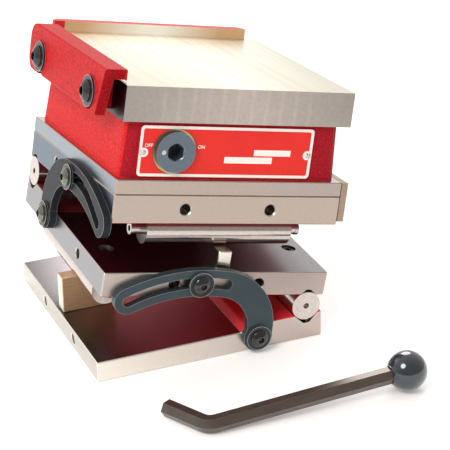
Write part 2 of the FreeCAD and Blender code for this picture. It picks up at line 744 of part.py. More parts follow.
def make_middle_plate():
    """Lower sine plate: hinge notch on the right below, on the rear above."""
    step_y = s.plate_width / 2 - s.middle_step
    land_top = middle_top + s.land_rise
    points = ((front, middle_foot), (-front, middle_foot), (-front, land_top),
              (step_y + s.land_rise, land_top), (step_y, middle_top), (front, middle_top))
    profile = extruded("middle_profile", "YZ_Plane", points, s.plate_length)

    def at_step_foot(edge):
        return edge.BoundBox.ZMax < middle_top.value + 0.1 and abs(edge.BoundBox.Center.y - step_y.value) < 0.1

    blank = eased("middle_blank", profile, s.plate_edge, at_step_foot)
    lower_axis = as_point((lower_axis_x, 0, lower_axis_z))
    upper_axis = as_point((0, upper_axis_y, upper_axis_z))
    lower_roll = as_point((lower_roll_x, 0, lower_axis_z))
    cutters = hinge_notch("middle_lower_notch", lower_axis, "back", True)
    cutters += hinge_notch("middle_upper_notch", upper_axis, "right", False)
    cutters.append(roll_groove("middle_groove", lower_roll, "back"))
    cutters += side_holes("middle", (middle_foot + middle_top) / 2)
    seat_z = middle_top - s.roll_bore_depth
    places = roll_screw_places(lower_axis, "back") + roll_screw_places(lower_roll, "back")
    for number, (x, y, z) in enumerate(places, start=1):
        cutters.append(screw_pocket("middle_pocket%d" % number, (x, y, seat_z), "up",
                                    s.roll_screw_diameter + 0.4, s.roll_bore_diameter,
                                    s.middle_thickness, s.roll_bore_depth + s.land_rise + 1.0))
    under_seat = middle_foot + s.roll_bore_depth
    under_places = [along_point(upper_axis, "right", side * s.centre_screw_pitch / 2) for side in (-1, 1)]
    for number, (x, y, z) in enumerate(under_places, start=1):
        cutters.append(screw_pocket("middle_under%d" % number, (x, y, under_seat), "down",
                                    s.roll_screw_diameter + 0.4, s.roll_bore_diameter,
                                    s.middle_thickness, s.roll_bore_depth + 1.0))
    cutters.append(screw_hole("middle_lock_hole", front_lock, "front", s.arm_screw_diameter,
                              s.arm_screw_depth))
    cutters.append(screw_hole("middle_pivot_hole", side_pivot, "left", s.arm_screw_diameter,
                              s.arm_screw_depth))
    node("middle_plate", cut("middle_plate", blank, cutters), on_middle)
    make_roll_screws("middle_roll_screws", places, "up", seat_z, on_middle)
    make_roll_screws("upper_hinge_screws", under_places, "down", under_seat, on_middle)
    base_places = [along_point(lower_axis, "back", side * s.centre_screw_pitch / 2) for side in (-1, 1)]
    make_roll_screws("lower_hinge_screws", base_places, "down", s.roll_bore_depth, on_base)


# -------------------------------------------------------- upper sine plate


def hold_down_places():
    half = s.hold_down_spread / 2
    return [(across * half, deep * half) for across in (-1, 1) for deep in (-1, 1)]


def make_upper_plate():
    """Upper sine plate, which the chuck is bolted to from below."""
    square = centred_box("upper_square", as_point((0, 0, (upper_foot + upper_top) / 2)),
                         (s.plate_length, s.plate_width, s.upper_thickness))
    blank = eased("upper_blank", square, s.plate_edge)
    upper_axis = as_point((0, upper_axis_y, upper_axis_z))
    upper_roll = as_point((0, upper_roll_y, upper_axis_z))
    middle_z = (upper_foot + upper_top) / 2
    cutters = hinge_notch("upper_notch", upper_axis, "right", True)
    cutters.append(roll_groove("upper_groove", upper_roll, "right"))
    cutters += side_holes("upper", middle_z)
    seat_z = upper_top - s.roll_bore_depth
    places = roll_screw_places(upper_axis, "right") + roll_screw_places(upper_roll, "right")
    for number, (x, y, z) in enumerate(places, start=1):
        cutters.append(screw_pocket("upper_pocket%d" % number, (x, y, seat_z), "up",
                                    s.roll_screw_diameter + 0.4, s.roll_bore_diameter,
                                    s.upper_thickness, s.roll_bore_depth + 1.0))
    hold_seat = upper_foot + s.hold_down_head_height + 1.0
    for number, (x, y) in enumerate(hold_down_places(), start=1):
        cutters.append(screw_pocket("upper_hold%d" % number, as_point((x, y, hold_seat)), "down",
                                    s.hold_down_diameter + 0.5, s.hold_down_head + 1.0,
                                    s.upper_thickness, s.hold_down_head_height + 2.0))
    cutters.append(screw_hole("upper_lock_hole", side_lock, "left", s.arm_screw_diameter,
                              s.arm_screw_depth))
    for side in (-1, 1):
        mouth = as_point((-left, side * s.side_bar_screw_pitch / 2, middle_z))
        cutters.append(screw_hole("upper_bar_hole", mouth, "right", s.arm_screw_diameter,
                                  s.arm_screw_depth))
    node("upper_plate", cut("upper_plate", blank, cutters), on_upper)
    make_roll_screws("upper_roll_screws", places, "up", seat_z, on_upper)
    screws = []
    for number, (x, y) in enumerate(hold_down_places(), start=1):
        screws.append(cap_screw("chuck_screw%d" % number, as_point((x, y, hold_seat)), "down",
                                s.hold_down_diameter, s.hold_down_length, s.hold_down_head,
                                s.hold_down_head_height))
    node("chuck_hold_down_screws", group("chuck_hold_down_screws", screws), on_upper)


def make_side_bar():
    """Ground bar along the right side, held by two flat head screws."""
    middle_z = (upper_foot + upper_top) / 2
    low = as_point((-left, front, chuck_base_top - s.side_bar_height))
    blank = box("side_bar_blank", low, (s.side_bar_thickness, s.plate_width, s.side_bar_height))
    outer_x = -left + s.side_bar_thickness
    sink = (s.side_bar_screw_head - s.arm_screw_diameter) / 2
    cutters = []
    screws = []
    for side in (-1, 1):
        tag = "side_bar_screw%d" % (side + 2)
        place_out = as_point((outer_x, side * s.side_bar_screw_pitch / 2, middle_z))
        cutters.append(rod(tag + "_hole", place_out, "left", s.arm_screw_diameter + 0.4,
                           s.side_bar_thickness + 1.0))
        cutters.append(cone(tag + "_sink", place_out, "left", s.side_bar_screw_head / 2 + 0.1,
                            s.arm_screw_diameter / 2 + 0.1, sink))
        head = cone(tag + "_head", place_out, "left", s.side_bar_screw_head / 2,
                    s.arm_screw_diameter / 2, sink)
        shaft = rod(tag + "_shaft", place_out, "left", s.arm_screw_diameter,
                    s.side_bar_thickness + s.arm_screw_depth)
        socket = hexagon(tag + "_socket", (place_out[0] - 1.6, place_out[1], place_out[2]), "right",
                         s.arm_screw_diameter * 0.66, as_size(3.0))
        screws.append(cut(tag, fuse(tag + "_solid", [head, shaft]), [socket]))
    node("side_bar", cut("side_bar", blank, cutters), on_upper)
    node("side_bar_screws", group("side_bar_screws", screws), on_upper)


# ---------------------------------------------------------------- lock arms

front_pivot = (lower_axis_x - s.front_pivot_reach, front, lower_axis_z - s.pivot_drop)
front_lock = (lower_axis_x - s.lock_reach, front, lower_axis_z + s.lock_rise)
side_pivot = (left, upper_axis_y - s.side_pivot_reach, upper_axis_z - s.pivot_drop)
side_lock = (left, upper_axis_y - s.lock_reach, upper_axis_z + s.lock_rise)


def arc_band(name, centre, radius, half_width, first, last):
    """Part of a flat ring, between two angles from its own X axis."""
    overrun = 1.0
    outer = doc.addObject("Part::Cylinder", name + "_outer")
    bind(outer, "Radius", radius + half_width)
    bind(outer, "Height", s.arm_thickness)
    outer.Angle = last - first
    outer.Placement = FreeCAD.Placement(FreeCAD.Vector(), FreeCAD.Rotation(DIRECTIONS["up"], first))
    inner = rod(name + "_inner", (as_size(0), as_size(0), as_size(-overrun)), "up",
                (radius - half_width) * 2, s.arm_thickness + 2 * overrun)
    whole = cut(name, outer, [inner])
    return place(whole, (centre[0], centre[1], as_size(0)))


def arm_angle(centre_x, centre_y, x, y):
    return math.degrees(math.atan2(y - centre_y, x - centre_x))


def make_arm(label, slot_radius, slot_reach, slot_drop, slot_end, pivot, facing, turn, unit):
    """Flat hooked arm.  It is drawn about its pivot, X away from the hinge, Y up."""
    band_x = s.arm_band_centre_reach
    band_y = -s.arm_band_centre_drop
    band_r = s.arm_band_radius
    hook_r = s.arm_hook_radius
    # The hook's centreline starts on the band and ends at the pivot.
    gap = math.hypot(band_x.value, band_y.value)
    across = (band_r - hook_r).value
    cosine = (gap ** 2 + across ** 2 - hook_r.value ** 2) / (2 * gap * across)
    joint_angle = math.degrees(math.atan2(-band_y.value, -band_x.value) - math.acos(cosine))
    joint = math.radians(joint_angle)
    hook_x = band_x + (band_r - hook_r) * math.cos(joint)
    hook_y = band_y + (band_r - hook_r) * math.sin(joint)
    tip_x = s.arm_tip_reach
    tip_y = band_y + as_size(math.sqrt(band_r.value ** 2 - (tip_x - band_x).value ** 2))
    tip_angle = arm_angle(band_x.value, band_y.value, tip_x.value, tip_y.value)
    pivot_angle = arm_angle(hook_x.value, hook_y.value, 0.0, 0.0) % 360
    zero = as_size(0)
    pieces = [
        arc_band(label + "_band", (band_x, band_y), band_r, s.arm_half_width, tip_angle, joint_angle),
        arc_band(label + "_hook", (hook_x, hook_y), hook_r, s.arm_half_width, joint_angle, pivot_angle),
        rod(label + "_tip", (tip_x, tip_y, zero), "up", s.arm_half_width * 2, s.arm_thickness),
        rod(label + "_boss", (zero, zero, zero), "up", s.arm_boss_radius * 2, s.arm_thickness),
    ]
    # The slot: an arc from the hook to the tip's centre, rounded at both ends.
    slot_x = slot_reach
    slot_y = -slot_drop
    near_x = s.slot_near_reach
    near_y = slot_y + as_size(math.sqrt(slot_radius.value ** 2 - (near_x - slot_x).value ** 2))
    near_angle = arm_angle(slot_x.value, slot_y.value, near_x.value, near_y.value)
    bend_x = slot_x + slot_radius * math.sin(math.radians(16.0))
    far_angle = 90.0 - 16.0
    bend_y = slot_y + slot_radius * math.cos(math.radians(16.0))
    run = (slot_end - bend_x) / math.cos(math.radians(16.0))
    tail = doc.addObject("Part::Box", label + "_slot_tail")
    bind(tail, "Length", run)
    bind(tail, "Width", s.slot_width)
    bind(tail, "Height", s.arm_thickness)
    tail_turn = FreeCAD.Rotation(DIRECTIONS["up"], -16.0)
    corner = tail_turn.multVec(FreeCAD.Vector(0, -s.slot_width.value / 2, 0))
    tail.Placement = FreeCAD.Placement(
        corner + FreeCAD.Vector(bend_x.value, bend_y.value, 0), tail_turn)
    far_x = slot_end
    far_y = bend_y - (slot_end - bend_x) * math.tan(math.radians(16.0))
    cutters = [
        arc_band(label + "_slot", (slot_x, slot_y), slot_radius, s.slot_width / 2,
                 far_angle, near_angle),
        tail,
        rod(label + "_slot_near", (near_x, near_y, zero), "up", s.slot_width, s.arm_thickness),
        rod(label + "_slot_far", (far_x, far_y, zero), "up", s.slot_width, s.arm_thickness),
        rod(label + "_pivot_bore", (zero, zero, zero), "up",
            s.arm_screw_diameter + 2 * s.arm_bore_play, s.arm_thickness),
    ]
    arm = cut(label, fuse(label + "_blank", pieces), cutters)
    # Stand the arm up against its plates: drawn X goes away from the hinge.
    away = DIRECTIONS["left"] if facing == "front" else DIRECTIONS["front"]
    stood = FreeCAD.Rotation(away, DIRECTIONS["up"], FreeCAD.Vector(), "XYZ")
    spin = FreeCAD.Rotation(DIRECTIONS["up"], turn)
    arm.Placement = FreeCAD.Placement(FreeCAD.Vector(), stood.multiply(spin))
    # Drawn Z points to the plates for one arm and away for the other.
    inward = stood.multVec(DIRECTIONS["up"])
    outward = DIRECTIONS[facing]
    offset = s.arm_gap if inward.dot(outward) > 0 else arm_plane
    point = [size + component * offset for size, component in zip(as_point(pivot), outward)]
    for axis, size in zip("xyz", point):
        bind(arm, "Placement.Base.%s" % axis, size)
    doc.recompute()
    node(label, arm, unit)


def outward_point(point, facing, distance):
    return [size + component * distance for size, component in zip(as_point(point), DIRECTIONS[facing])]


def make_arm_screw(label, point, facing, unit):
    """Button head screw and washer that hold an arm."""
    seat = outward_point(point, facing, head_plane)
    screw = button_screw(label + "_screw", seat, facing, s.arm_screw_diameter,
                         head_plane + s.arm_screw_depth, s.arm_head_diameter, s.arm_head_height)
    node(label + "_screw", screw, unit)
    washer = ring(label + "_washer", outward_point(point, facing, washer_plane), facing,
                  s.arm_washer_diameter, s.arm_screw_diameter + 2 * s.seat_gap, s.arm_washer_thickness)
    node(label + "_washer", washer, unit)


# -------------------------------------------------------------- gauge blocks


def make_block(label, centre, lengths, unit):
    """Lapped block with broken edges, standing on the low face of a plate."""
    blank = centred_box(label + "_blank", centre, lengths)
    doc.recompute()
    block = doc.addObject("Part::Chamfer", label)
    block.Base = blank
    edge = s.block_edge.value
    block.Edges = [(number, edge, edge) for number in range(1, len(blank.Shape.Edges) + 1)]
    node(label, block, unit)


def make_gauge_blocks():
    lower_reach = s.roll_centres.value * math.cos(math.radians(sine_angle(s.lower_block_height)))
    lower_x = lower_axis_x - as_size(lower_reach) - s.block_lap + s.block_length / 2
    make_block("lower_gauge_block",
               as_point((lower_x, 0, base_top + s.lower_block_height / 2)),
               (s.block_length, s.block_width, s.lower_block_height), on_base)
    upper_reach = s.roll_centres.value * math.cos(math.radians(sine_angle(s.upper_block_height)))
    upper_y = upper_axis_y - as_size(upper_reach) - s.block_lap + s.block_length / 2
    make_block("upper_gauge_block",
               as_point((s.upper_block_shift, upper_y, middle_top + s.upper_block_height / 2)),
               (s.block_width, s.block_length, s.upper_block_height), on_middle)


# -------------------------------------------------------------------- chuck

switch_x = -s.switch_left
switch_z = chuck_base_top + s.switch_rise
housing_front = -s.housing_width / 2
plate_face = housing_front - s.name_plate_thickness
ledge_z = pole_foot - s.carrier_play
carrier_foot = switch_z + s.crank_throw + s.crank_diameter / 2 + s.carrier_play


def tie_places():
    return [(across * s.tie_spread_length / 2, deep * s.tie_spread_width / 2)
            for across in (-1, 1) for deep in (-1, 1)]


def make_chuck_base():
    """Flange plate under the housing."""
    square = centred_box("chuck_base_square", as_point((0, 0, (upper_top + chuck_base_top) / 2)),
                         (s.plate_length, s.plate_width, s.chuck_base_thickness))
    blank = eased("chuck_base_blank", square, s.plate_edge)
    cutters = []
    hold_seat = upper_foot + s.hold_down_head_height + 1.0
    reach = hold_seat + s.hold_down_length + 0.5 - upper_top
    for number, (x, y) in enumerate(hold_down_places(), start=1):
        cutters.append(rod("chuck_base_hold%d" % number, as_point((x, y, upper_top)), "up",
                           s.hold_down_diameter + 2 * s.thread_gap, reach))
    for number, (x, y) in enumerate(tie_places(), start=1):
        seat = as_point((x, y, upper_top + s.tie_screw_head_height))
        cutters.append(screw_pocket("chuck_base_tie%d" % number, seat, "down",
                                    s.tie_screw_diameter + 0.4, s.tie_screw_head + 0.6,
                                    s.chuck_base_thickness, s.tie_screw_head_height + 1.0))
    node("chuck_base_plate", cut("chuck_base_plate", blank, cutters), on_upper)
    screws = []
    for number, (x, y) in enumerate(tie_places(), start=1):
        seat = as_point((x, y, upper_top + s.tie_screw_head_height))
        screws.append(cap_screw("tie_screw%d" % number, seat, "down", s.tie_screw_diameter,
                                s.tie_screw_length, s.tie_screw_head, s.tie_screw_head_height - 0.2))
    node("chuck_tie_screws", group("chuck_tie_screws", screws), on_upper)


def make_housing():
    """Cast housing with drafted sides and room for the magnets."""
    foot = s.housing_foot / 2
    neck = s.housing_neck / 2
    points = ((-foot, chuck_base_top), (foot, chuck_base_top), (neck, pole_foot), (-neck, pole_foot))
    body = extruded("housing_blank", "XZ_Plane", points, s.housing_width)
    pad = body.Tip
    rounded = body.newObject("PartDesign::Fillet", "housing_corners")
    rounded.Base = (pad, upright_edges(pad.Shape))
    bind(rounded, "Radius", s.housing_corner)
    body.Tip = rounded
    doc.recompute()
    ledge = carrier_foot - s.carrier_play
    cutters = [
        box("housing_well",
            as_point((-s.well_length / 2, -s.well_width / 2, chuck_base_top + s.housing_floor)),
            (s.well_length, s.well_width, s.housing_height)),
        box("housing_cavity", as_point((-s.cavity_length / 2, -s.cavity_width / 2, ledge)),
            (s.cavity_length, s.cavity_width, s.housing_height)),
        rod("housing_front_bore", as_point((switch_x, housing_front - 1.0, switch_z)), "back",
            s.shaft_diameter + 2 * s.bush_wall + 2 * s.seat_gap, s.housing_width / 4),
        rod("housing_rear_bore", as_point((switch_x, s.well_width / 2 - 1.0, switch_z)), "back",
            s.tail_diameter + 2 * s.bush_wall + 2 * s.seat_gap, s.tail_bush_length + 1.5),
    ]
    for number, (x, y) in enumerate(tie_places(), start=1):
        cutters.append(rod("housing_tie%d" % number, as_point((x, y, chuck_base_top - 1.0)), "up",
                           s.tie_screw_diameter + 0.4, s.housing_height + 2.0))
    node("chuck_housing", cut("chuck_housing", body, cutters), on_upper)


def rail_hole_cutters(tag):
    """Tapped holes for the screws of the two stop rails."""
    cutters = []
    middle_z = (pole_foot + pole_top) / 2
    for side in (-1, 1):
        offset = side * s.rail_screw_pitch / 2
        cutters.append(screw_hole("%s_left_hole" % tag, as_point((left, offset, middle_z)), "left",
                                  s.rail_screw_diameter, s.rail_screw_depth))
        cutters.append(screw_hole("%s_rear_hole" % tag, as_point((offset, -front, middle_z)), "back",
                                  s.rail_screw_diameter, s.rail_screw_depth))
    for number, (x, y) in enumerate(tie_places(), start=1):
        top = upper_top + s.tie_screw_head_height + s.tie_screw_length + 0.5
        cutters.append(rod("%s_tie%d" % (tag, number), as_point((x, y, pole_foot - 1.0)), "up",
                           s.tie_screw_diameter + 2 * s.thread_gap, top - pole_foot + 1.0))
    return cutters


def make_pole_plate():
    """Laminated top: steel bars with brass spacers between them, front to back."""
    count = int(s.pole_count.value)
    steel_width = s.pole_pitch - s.brass_width
    field = s.pole_pitch * (count - 1) + s.brass_width
    left_end = (s.plate_length - field) / 2 - s.pole_shift
    right_end = s.plate_length - field - left_end

    def bar_size(width):
        return (width, s.plate_width, s.pole_thickness)

    bars = [box("pole_end1", as_point((left, front, pole_foot)), bar_size(left_end)),
            box("pole_end2", as_point((-left - right_end, front, pole_foot)), bar_size(right_end))]
    spacers = []
    for number in range(count):
        x = left + left_end + number * s.pole_pitch
        spacers.append(box("spacer%d" % number, as_point((x, front, pole_foot)), bar_size(s.brass_width)))
        if number < count - 1:
            bars.append(box("bar%d" % number, as_point((x + s.brass_width, front, pole_foot)),
                            bar_size(steel_width)))
    steel = cut("pole_bars", group("pole_bar_set", bars), rail_hole_cutters("bars"))
    node("pole_bars", steel, on_upper)
    brass = cut("pole_spacers", group("pole_spacer_set", spacers), rail_hole_cutters("spacers"))
    node("pole_spacers", brass, on_upper)


# ------------------------------------------------------------------- switch


def make_switch():
    """Dial with a hex socket, its shaft and eccentric, and the two bushes."""
    dial_front = plate_face - s.dial_proud
    dial_back = plate_face - 0.1
    crank_front = -s.crank_length / 2
    tail_end = s.well_width / 2 + s.tail_bush_length
    dial = rod("dial_disc", as_point((switch_x, dial_front, switch_z)), "back", s.dial_diameter,
               dial_back - dial_front)
    shaft = rod("dial_shaft", as_point((switch_x, dial_front, switch_z)), "back", s.shaft_diameter,
                crank_front - dial_front)
    crank = rod("dial_crank", as_point((switch_x - s.crank_throw, crank_front, switch_z)), "back",
                s.crank_diameter, s.crank_length)
    core = rod("dial_tail", as_point((switch_x, crank_front - 1.0, switch_z)), "back",
               s.crank_diameter - 2 * s.crank_throw, s.crank_length + 2.0)
    tail = rod("dial_rear", as_point((switch_x, -crank_front, switch_z)), "back", s.tail_diameter,
               tail_end + crank_front)
    socket = hexagon("dial_socket", as_point((switch_x, dial_front + s.socket_depth, switch_z)), "front",
                     s.socket_flats, s.socket_depth + 1.0, 30.0)
    sink_radius = s.socket_flats / math.sqrt(3) + 0.1
    sink = cone("dial_sink", as_point((switch_x, dial_front, switch_z)), "back", sink_radius,
                sink_radius - s.socket_edge, s.socket_edge)
    pin_x = switch_x - s.index_pin_reach
    pin_hole = rod("dial_pin_hole", as_point((pin_x, dial_front - 1.0, switch_z)), "back",
                   s.index_pin_diameter + 2 * s.seat_gap,
                   s.index_pin_length - s.index_pin_proud + 1.0)
    solid = fuse("switch_solid", [dial, shaft, crank, core, tail])
    node("switch_shaft", cut("switch_shaft", solid, [socket, sink, pin_hole]), on_upper)
    pin = rod("switch_index_pin", as_point((pin_x, dial_front - s.index_pin_proud, switch_z)), "back",
              s.index_pin_diameter, s.index_pin_length)
    node("switch_index_pin", pin, on_upper)
    bore = s.shaft_diameter + 2 * s.running_gap
    barrel_length = (s.housing_width - s.cavity_width) / 2 + s.name_plate_thickness - 0.6
    flange = ring("switch_bush_flange", as_point((switch_x, plate_face + 0.1, switch_z)), "back",
                  s.bush_flange, bore, s.name_plate_thickness - 0.1)
    barrel = ring("switch_bush_barrel", as_point((switch_x, plate_face + 0.1, switch_z)), "back",
                  s.shaft_diameter + 2 * s.bush_wall, bore, barrel_length)
    node("switch_bush", fuse("switch_bush", [flange, barrel]), on_upper)
    rear = ring("switch_rear_bush", as_point((switch_x, s.well_width / 2, switch_z)), "back",
                s.tail_diameter + 2 * s.bush_wall, s.tail_diameter + 2 * s.running_gap,
                s.tail_bush_length)
    node("switch_rear_bush", rear, on_upper)


def make_magnets():
    """Tray of magnet bars that the eccentric slides by one bar's width."""
    travel = s.crank_throw * 2
    tray_left = -(s.carrier_length + travel) / 2
    tray = box("tray", as_point((tray_left, -s.cavity_width / 2 + s.carrier_play, carrier_foot)),
               (s.carrier_length, s.cavity_width - 2 * s.carrier_play, s.carrier_thickness))
    slot_x = switch_x - s.crank_throw
    half_slot = s.crank_diameter / 2 + s.fork_play
    # The legs' middles are joined by a root that lies in the tray's sheet.
    root_z = carrier_foot + s.carrier_thickness / 2
    legs = [centred_box("fork_root", as_point((slot_x, 0, root_z)),
                        (half_slot * 2 + s.fork_wall, s.fork_width, s.carrier_thickness))]
    for side in (-1, 1):
        middle_x = slot_x + side * (half_slot + s.fork_wall / 2)
        centre = as_point((middle_x, 0, carrier_foot - s.fork_depth / 2))
        legs.append(centred_box("fork_leg%d" % (side + 2), centre,
                                (s.fork_wall, s.fork_width, s.fork_depth)))
    node("magnet_carrier", fuse("magnet_carrier", [tray] + legs), on_upper)
    foot = carrier_foot + s.carrier_thickness
    count = int(s.magnet_count.value)
    middle_x = tray_left + s.carrier_length / 2
    bars = []
    for number in range(count):
        x = middle_x + (number - (count - 1) / 2) * s.magnet_pitch
        centre = as_point((x, 0, (foot + pole_foot - s.carrier_play) / 2))
        bars.append(centred_box("magnet%d" % number, centre,
                                (s.magnet_width, s.magnet_length, pole_foot - s.carrier_play - foot)))
    node("magnet_bars", group("magnet_bars", bars), on_upper)


# --------------------------------------------------------------- name plate


def make_name_plate():
    """Thin blank plate with rounded corners, riveted round the switch."""
    low_x = -s.name_plate_left
    low_z = chuck_base_top + s.name_plate_foot
    blank = box("name_plate_blank", as_point((low_x, plate_face, low_z)),
                (s.name_plate_length, s.name_plate_thickness, s.name_plate_height))
    doc.recompute()
    rounded = doc.addObject("Part::Fillet", "name_plate_corners")
    rounded.Base = blank
    radius = s.name_plate_corner.value
    numbers = [number for number, edge in enumerate(blank.Shape.Edges, start=1)
               if abs((edge.Vertexes[-1].Point - edge.Vertexes[0].Point).y) > 0.5 * edge.Length]
    rounded.Edges = [(number, radius, radius) for number in numbers]
    hole = rod("name_plate_hole", as_point((switch_x, plate_face - 1.0, switch_z)), "back",
               s.bush_flange + 0.6, s.name_plate_thickness + 2.0)
    rivet_z = low_z + s.name_plate_height * 0.47
    rivet_xs = (low_x + s.rivet_inset, low_x + s.name_plate_length - s.rivet_inset)
    node("name_plate", cut("name_plate", rounded, [hole]), on_upper)
    rivets = []
    for number, x in enumerate(rivet_xs, start=1):
        tag = "rivet%d" % number
        drum = rod(tag + "_drum", as_point((x, plate_face, rivet_z)), "front", s.rivet_diameter,
                   s.rivet_height)
        ball = doc.addObject("Part::Sphere", tag + "_ball")
        ball_radius = (s.rivet_diameter * s.rivet_diameter / 4 + s.rivet_height * s.rivet_height) / (
            s.rivet_height * 2)
        bind(ball, "Radius", ball_radius)
        place(ball, as_point((x, plate_face - s.rivet_height + ball_radius, rivet_z)))
        rivets.append(common(tag, drum, ball))
    node("name_plate_rivets", group("name_plate_rivets", rivets), on_upper)


# --------------------------------------------------------------- stop rails


def open_slot(name, centre, size_along, depth_axis, reach):
    """Cutter for a slot that is open at the rail's lower edge."""
    width = s.rail_slot_width
    run = s.pole_thickness
    if depth_axis == "x":
        leg = box(name + "_leg", (centre[0] - reach / 2, centre[1] - width / 2, centre[2] - run),
                  (reach, width, run))
        top = rod(name + "_top", (centre[0] - reach / 2, centre[1], centre[2]), "right", width, reach)
    else:
        leg = box(name + "_leg", (centre[0] - width / 2, centre[1] - reach / 2, centre[2] - run),
                  (width, reach, run))
        top = rod(name + "_top", (centre[0], centre[1] - reach / 2, centre[2]), "back", width, reach)
    return fuse(name, [leg, top])


def make_left_rail():
    """Angle rail on the left: a lip over the pole plate and a leg with open slots."""
    leg_inner = left - s.left_rail_stand
    leg_outer = leg_inner - s.left_rail_wall
    lip_inner = left + s.left_rail_lap
    lip_foot = pole_top + s.left_rail_lift
    rail_top = lip_foot + s.left_rail_wall
    leg_foot = pole_top - s.left_rail_drop
    edge = s.rail_edge
    points = ((leg_outer + edge, leg_foot), (leg_inner, leg_foot), (leg_inner, lip_foot),
              (lip_inner, lip_foot), (lip_inner, rail_top - edge / 2), (lip_inner - edge / 2, rail_top),
              (leg_outer + edge, rail_top), (leg_outer, rail_top - edge), (leg_outer, leg_foot + edge))
    blank = extruded("left_rail_blank", "XZ_Plane", points, s.left_rail_length)
    middle_z = (pole_foot + pole_top) / 2
    pads = []
    cutters = []
    for side in (-1, 1):
        y = side * s.rail_screw_pitch / 2
        pads.append(centred_box("left_rail_pad%d" % (side + 2),
                                as_point((left - (s.left_rail_stand + s.pad_gap) / 2, y, middle_z)),
                                (s.left_rail_stand - s.pad_gap, s.left_rail_pad, s.left_rail_pad)))
        centre = as_point((leg_outer, y, middle_z))
        cutters.append(open_slot("left_rail_slot%d" % (side + 2), centre, s.rail_slot_width, "x",
                                 s.left_rail_wall * 5))
    # the front end slopes in towards the foot
    wedge = doc.addObject("Part::Wedge", "left_rail_slope")
    for path, size in (("Xmin", as_size(0)), ("Xmax", s.left_rail_wall * 3), ("Ymin", as_size(0)),
                       ("Ymax", rail_top - leg_foot), ("Zmin", as_size(0)),
                       ("Zmax", s.left_rail_slope + 1.0), ("X2min", as_size(0)),
                       ("X2max", s.left_rail_wall * 3), ("Z2min", as_size(0)), ("Z2max", as_size(1.0))):
        bind(wedge, path, size)
    # wedge Y goes up and wedge Z goes in from the rail's end
    wedge.Placement = FreeCAD.Placement(
        FreeCAD.Vector(), FreeCAD.Rotation(DIRECTIONS["left"], DIRECTIONS["up"], DIRECTIONS["back"], "YZX"))
    low = (leg_outer + 2 * s.left_rail_wall, -s.left_rail_length / 2 - 1.0, leg_foot)
    for axis, size in zip("xyz", as_point(low)):
        bind(wedge, "Placement.Base.%s" % axis, size)
    cutters.append(wedge)
    # the rear end is rounded at the foot and at the top
    round_y = s.left_rail_length / 2 - s.left_rail_round
    across = lip_inner - leg_outer
    foot_z = leg_foot + s.left_rail_round
    top_z = rail_top - s.left_rail_round
    for tag, round_z, low_z in (("foot", foot_z, leg_foot - 1.0), ("top", top_z, top_z)):
        corner = box("left_rail_%s_corner" % tag, as_point((leg_outer - 1.0, round_y, low_z)),
                     (across + 2.0, s.left_rail_round + 1.0, s.left_rail_round + 1.0))
        keep = rod("left_rail_%s_round" % tag, as_point((leg_outer - 2.0, round_y, round_z)), "right",
                   s.left_rail_round * 2, across + 4.0)
        cutters.append(cut("left_rail_%s_end" % tag, corner, [keep]))
    rail = cut("left_stop_rail", fuse("left_rail_solid", [blank] + pads), cutters)
    node("left_stop_rail", rail, on_upper)


def make_rear_rail():
    """Flat rail across the back, open slots at its foot."""
    inner = -front + s.pad_gap
    outer = inner + s.rear_rail_thickness
    centre_x = -s.rear_rail_shift
    half = s.rear_rail_length / 2
    foot = pole_top - s.rear_rail_drop
    top = pole_top + s.rear_rail_rise
    edge = s.rail_edge
    corner = s.rear_rail_corner
    # seen from above
    points = ((centre_x - half, inner), (centre_x + half, inner), (centre_x + half, outer - corner),
              (centre_x + half - corner, outer), (centre_x - half + corner, outer),
              (centre_x - half, outer - corner))
    body = doc.addObject("PartDesign::Body", "rear_rail_blank")
    sketch = outline(body, "rear_rail_outline", "XY_Plane", [(as_size(x), as_size(y)) for x, y in points])
    pad = body.newObject("PartDesign::Pad", "rear_rail_pad")
    pad.Profile = sketch
    bind(pad, "Length", top - foot)
    doc.recompute()
    place(body, as_point((0, 0, foot)))
    cutters = []
    middle_z = (pole_foot + pole_top) / 2
    for side in (-1, 1):
        centre = as_point((side * s.rail_screw_pitch / 2, (inner + outer) / 2, middle_z))
        cutters.append(open_slot("rear_rail_slot%d" % (side + 2), centre, s.rail_slot_width, "y",
                                 s.rear_rail_thickness * 2))
    bevel = doc.addObject("Part::Box", "rear_rail_bevel")
    bind(bevel, "Length", s.rear_rail_length * 1.2)
    bind(bevel, "Width", edge * 4)
    bind(bevel, "Height", edge * 4)
    bevel.Placement = FreeCAD.Placement(FreeCAD.Vector(), FreeCAD.Rotation(DIRECTIONS["right"], 45))
    start = as_point((centre_x - s.rear_rail_length * 0.6, outer, top - edge))
    for axis, size in zip("xyz", start):
        bind(bevel, "Placement.Base.%s" % axis, size)
    cutters.append(bevel)
    node("rear_stop_rail", cut("rear_stop_rail", body, cutters), on_upper)


def make_rail_screws():
    """Button head screws and washers of the two stop rails."""
    middle_z = (pole_foot + pole_top) / 2
    left_stand = s.left_rail_stand + s.left_rail_wall + s.pad_gap
    rear_stand = s.pad_gap + s.rear_rail_thickness + s.pad_gap
    for label, facing, stand in (("left_rail", "left", left_stand), ("rear_rail", "back", rear_stand)):
        screws = []
        washers = []
        for side in (-1, 1):
            offset = side * s.rail_screw_pitch / 2
            face = (left, offset, middle_z) if facing == "left" else (offset, -front, middle_z)
            tag = "%s_%d" % (label, side + 2)
            washers.append(ring(tag + "_washer", outward_point(face, facing, stand), facing,
                                s.rail_washer_diameter, s.rail_screw_diameter + 2 * s.seat_gap,
                                s.rail_washer_thickness))
            seat = outward_point(face, facing, stand + s.rail_washer_thickness)
            screws.append(button_screw(tag + "_screw", seat, facing, s.rail_screw_diameter,
                                       stand + s.rail_washer_thickness + s.rail_screw_depth,
                                       s.rail_head_diameter, s.rail_head_height))
        node(label + "_screws", group(label + "_screws", screws), on_upper)
        node(label + "_washers", group(label + "_washers", washers), on_upper)


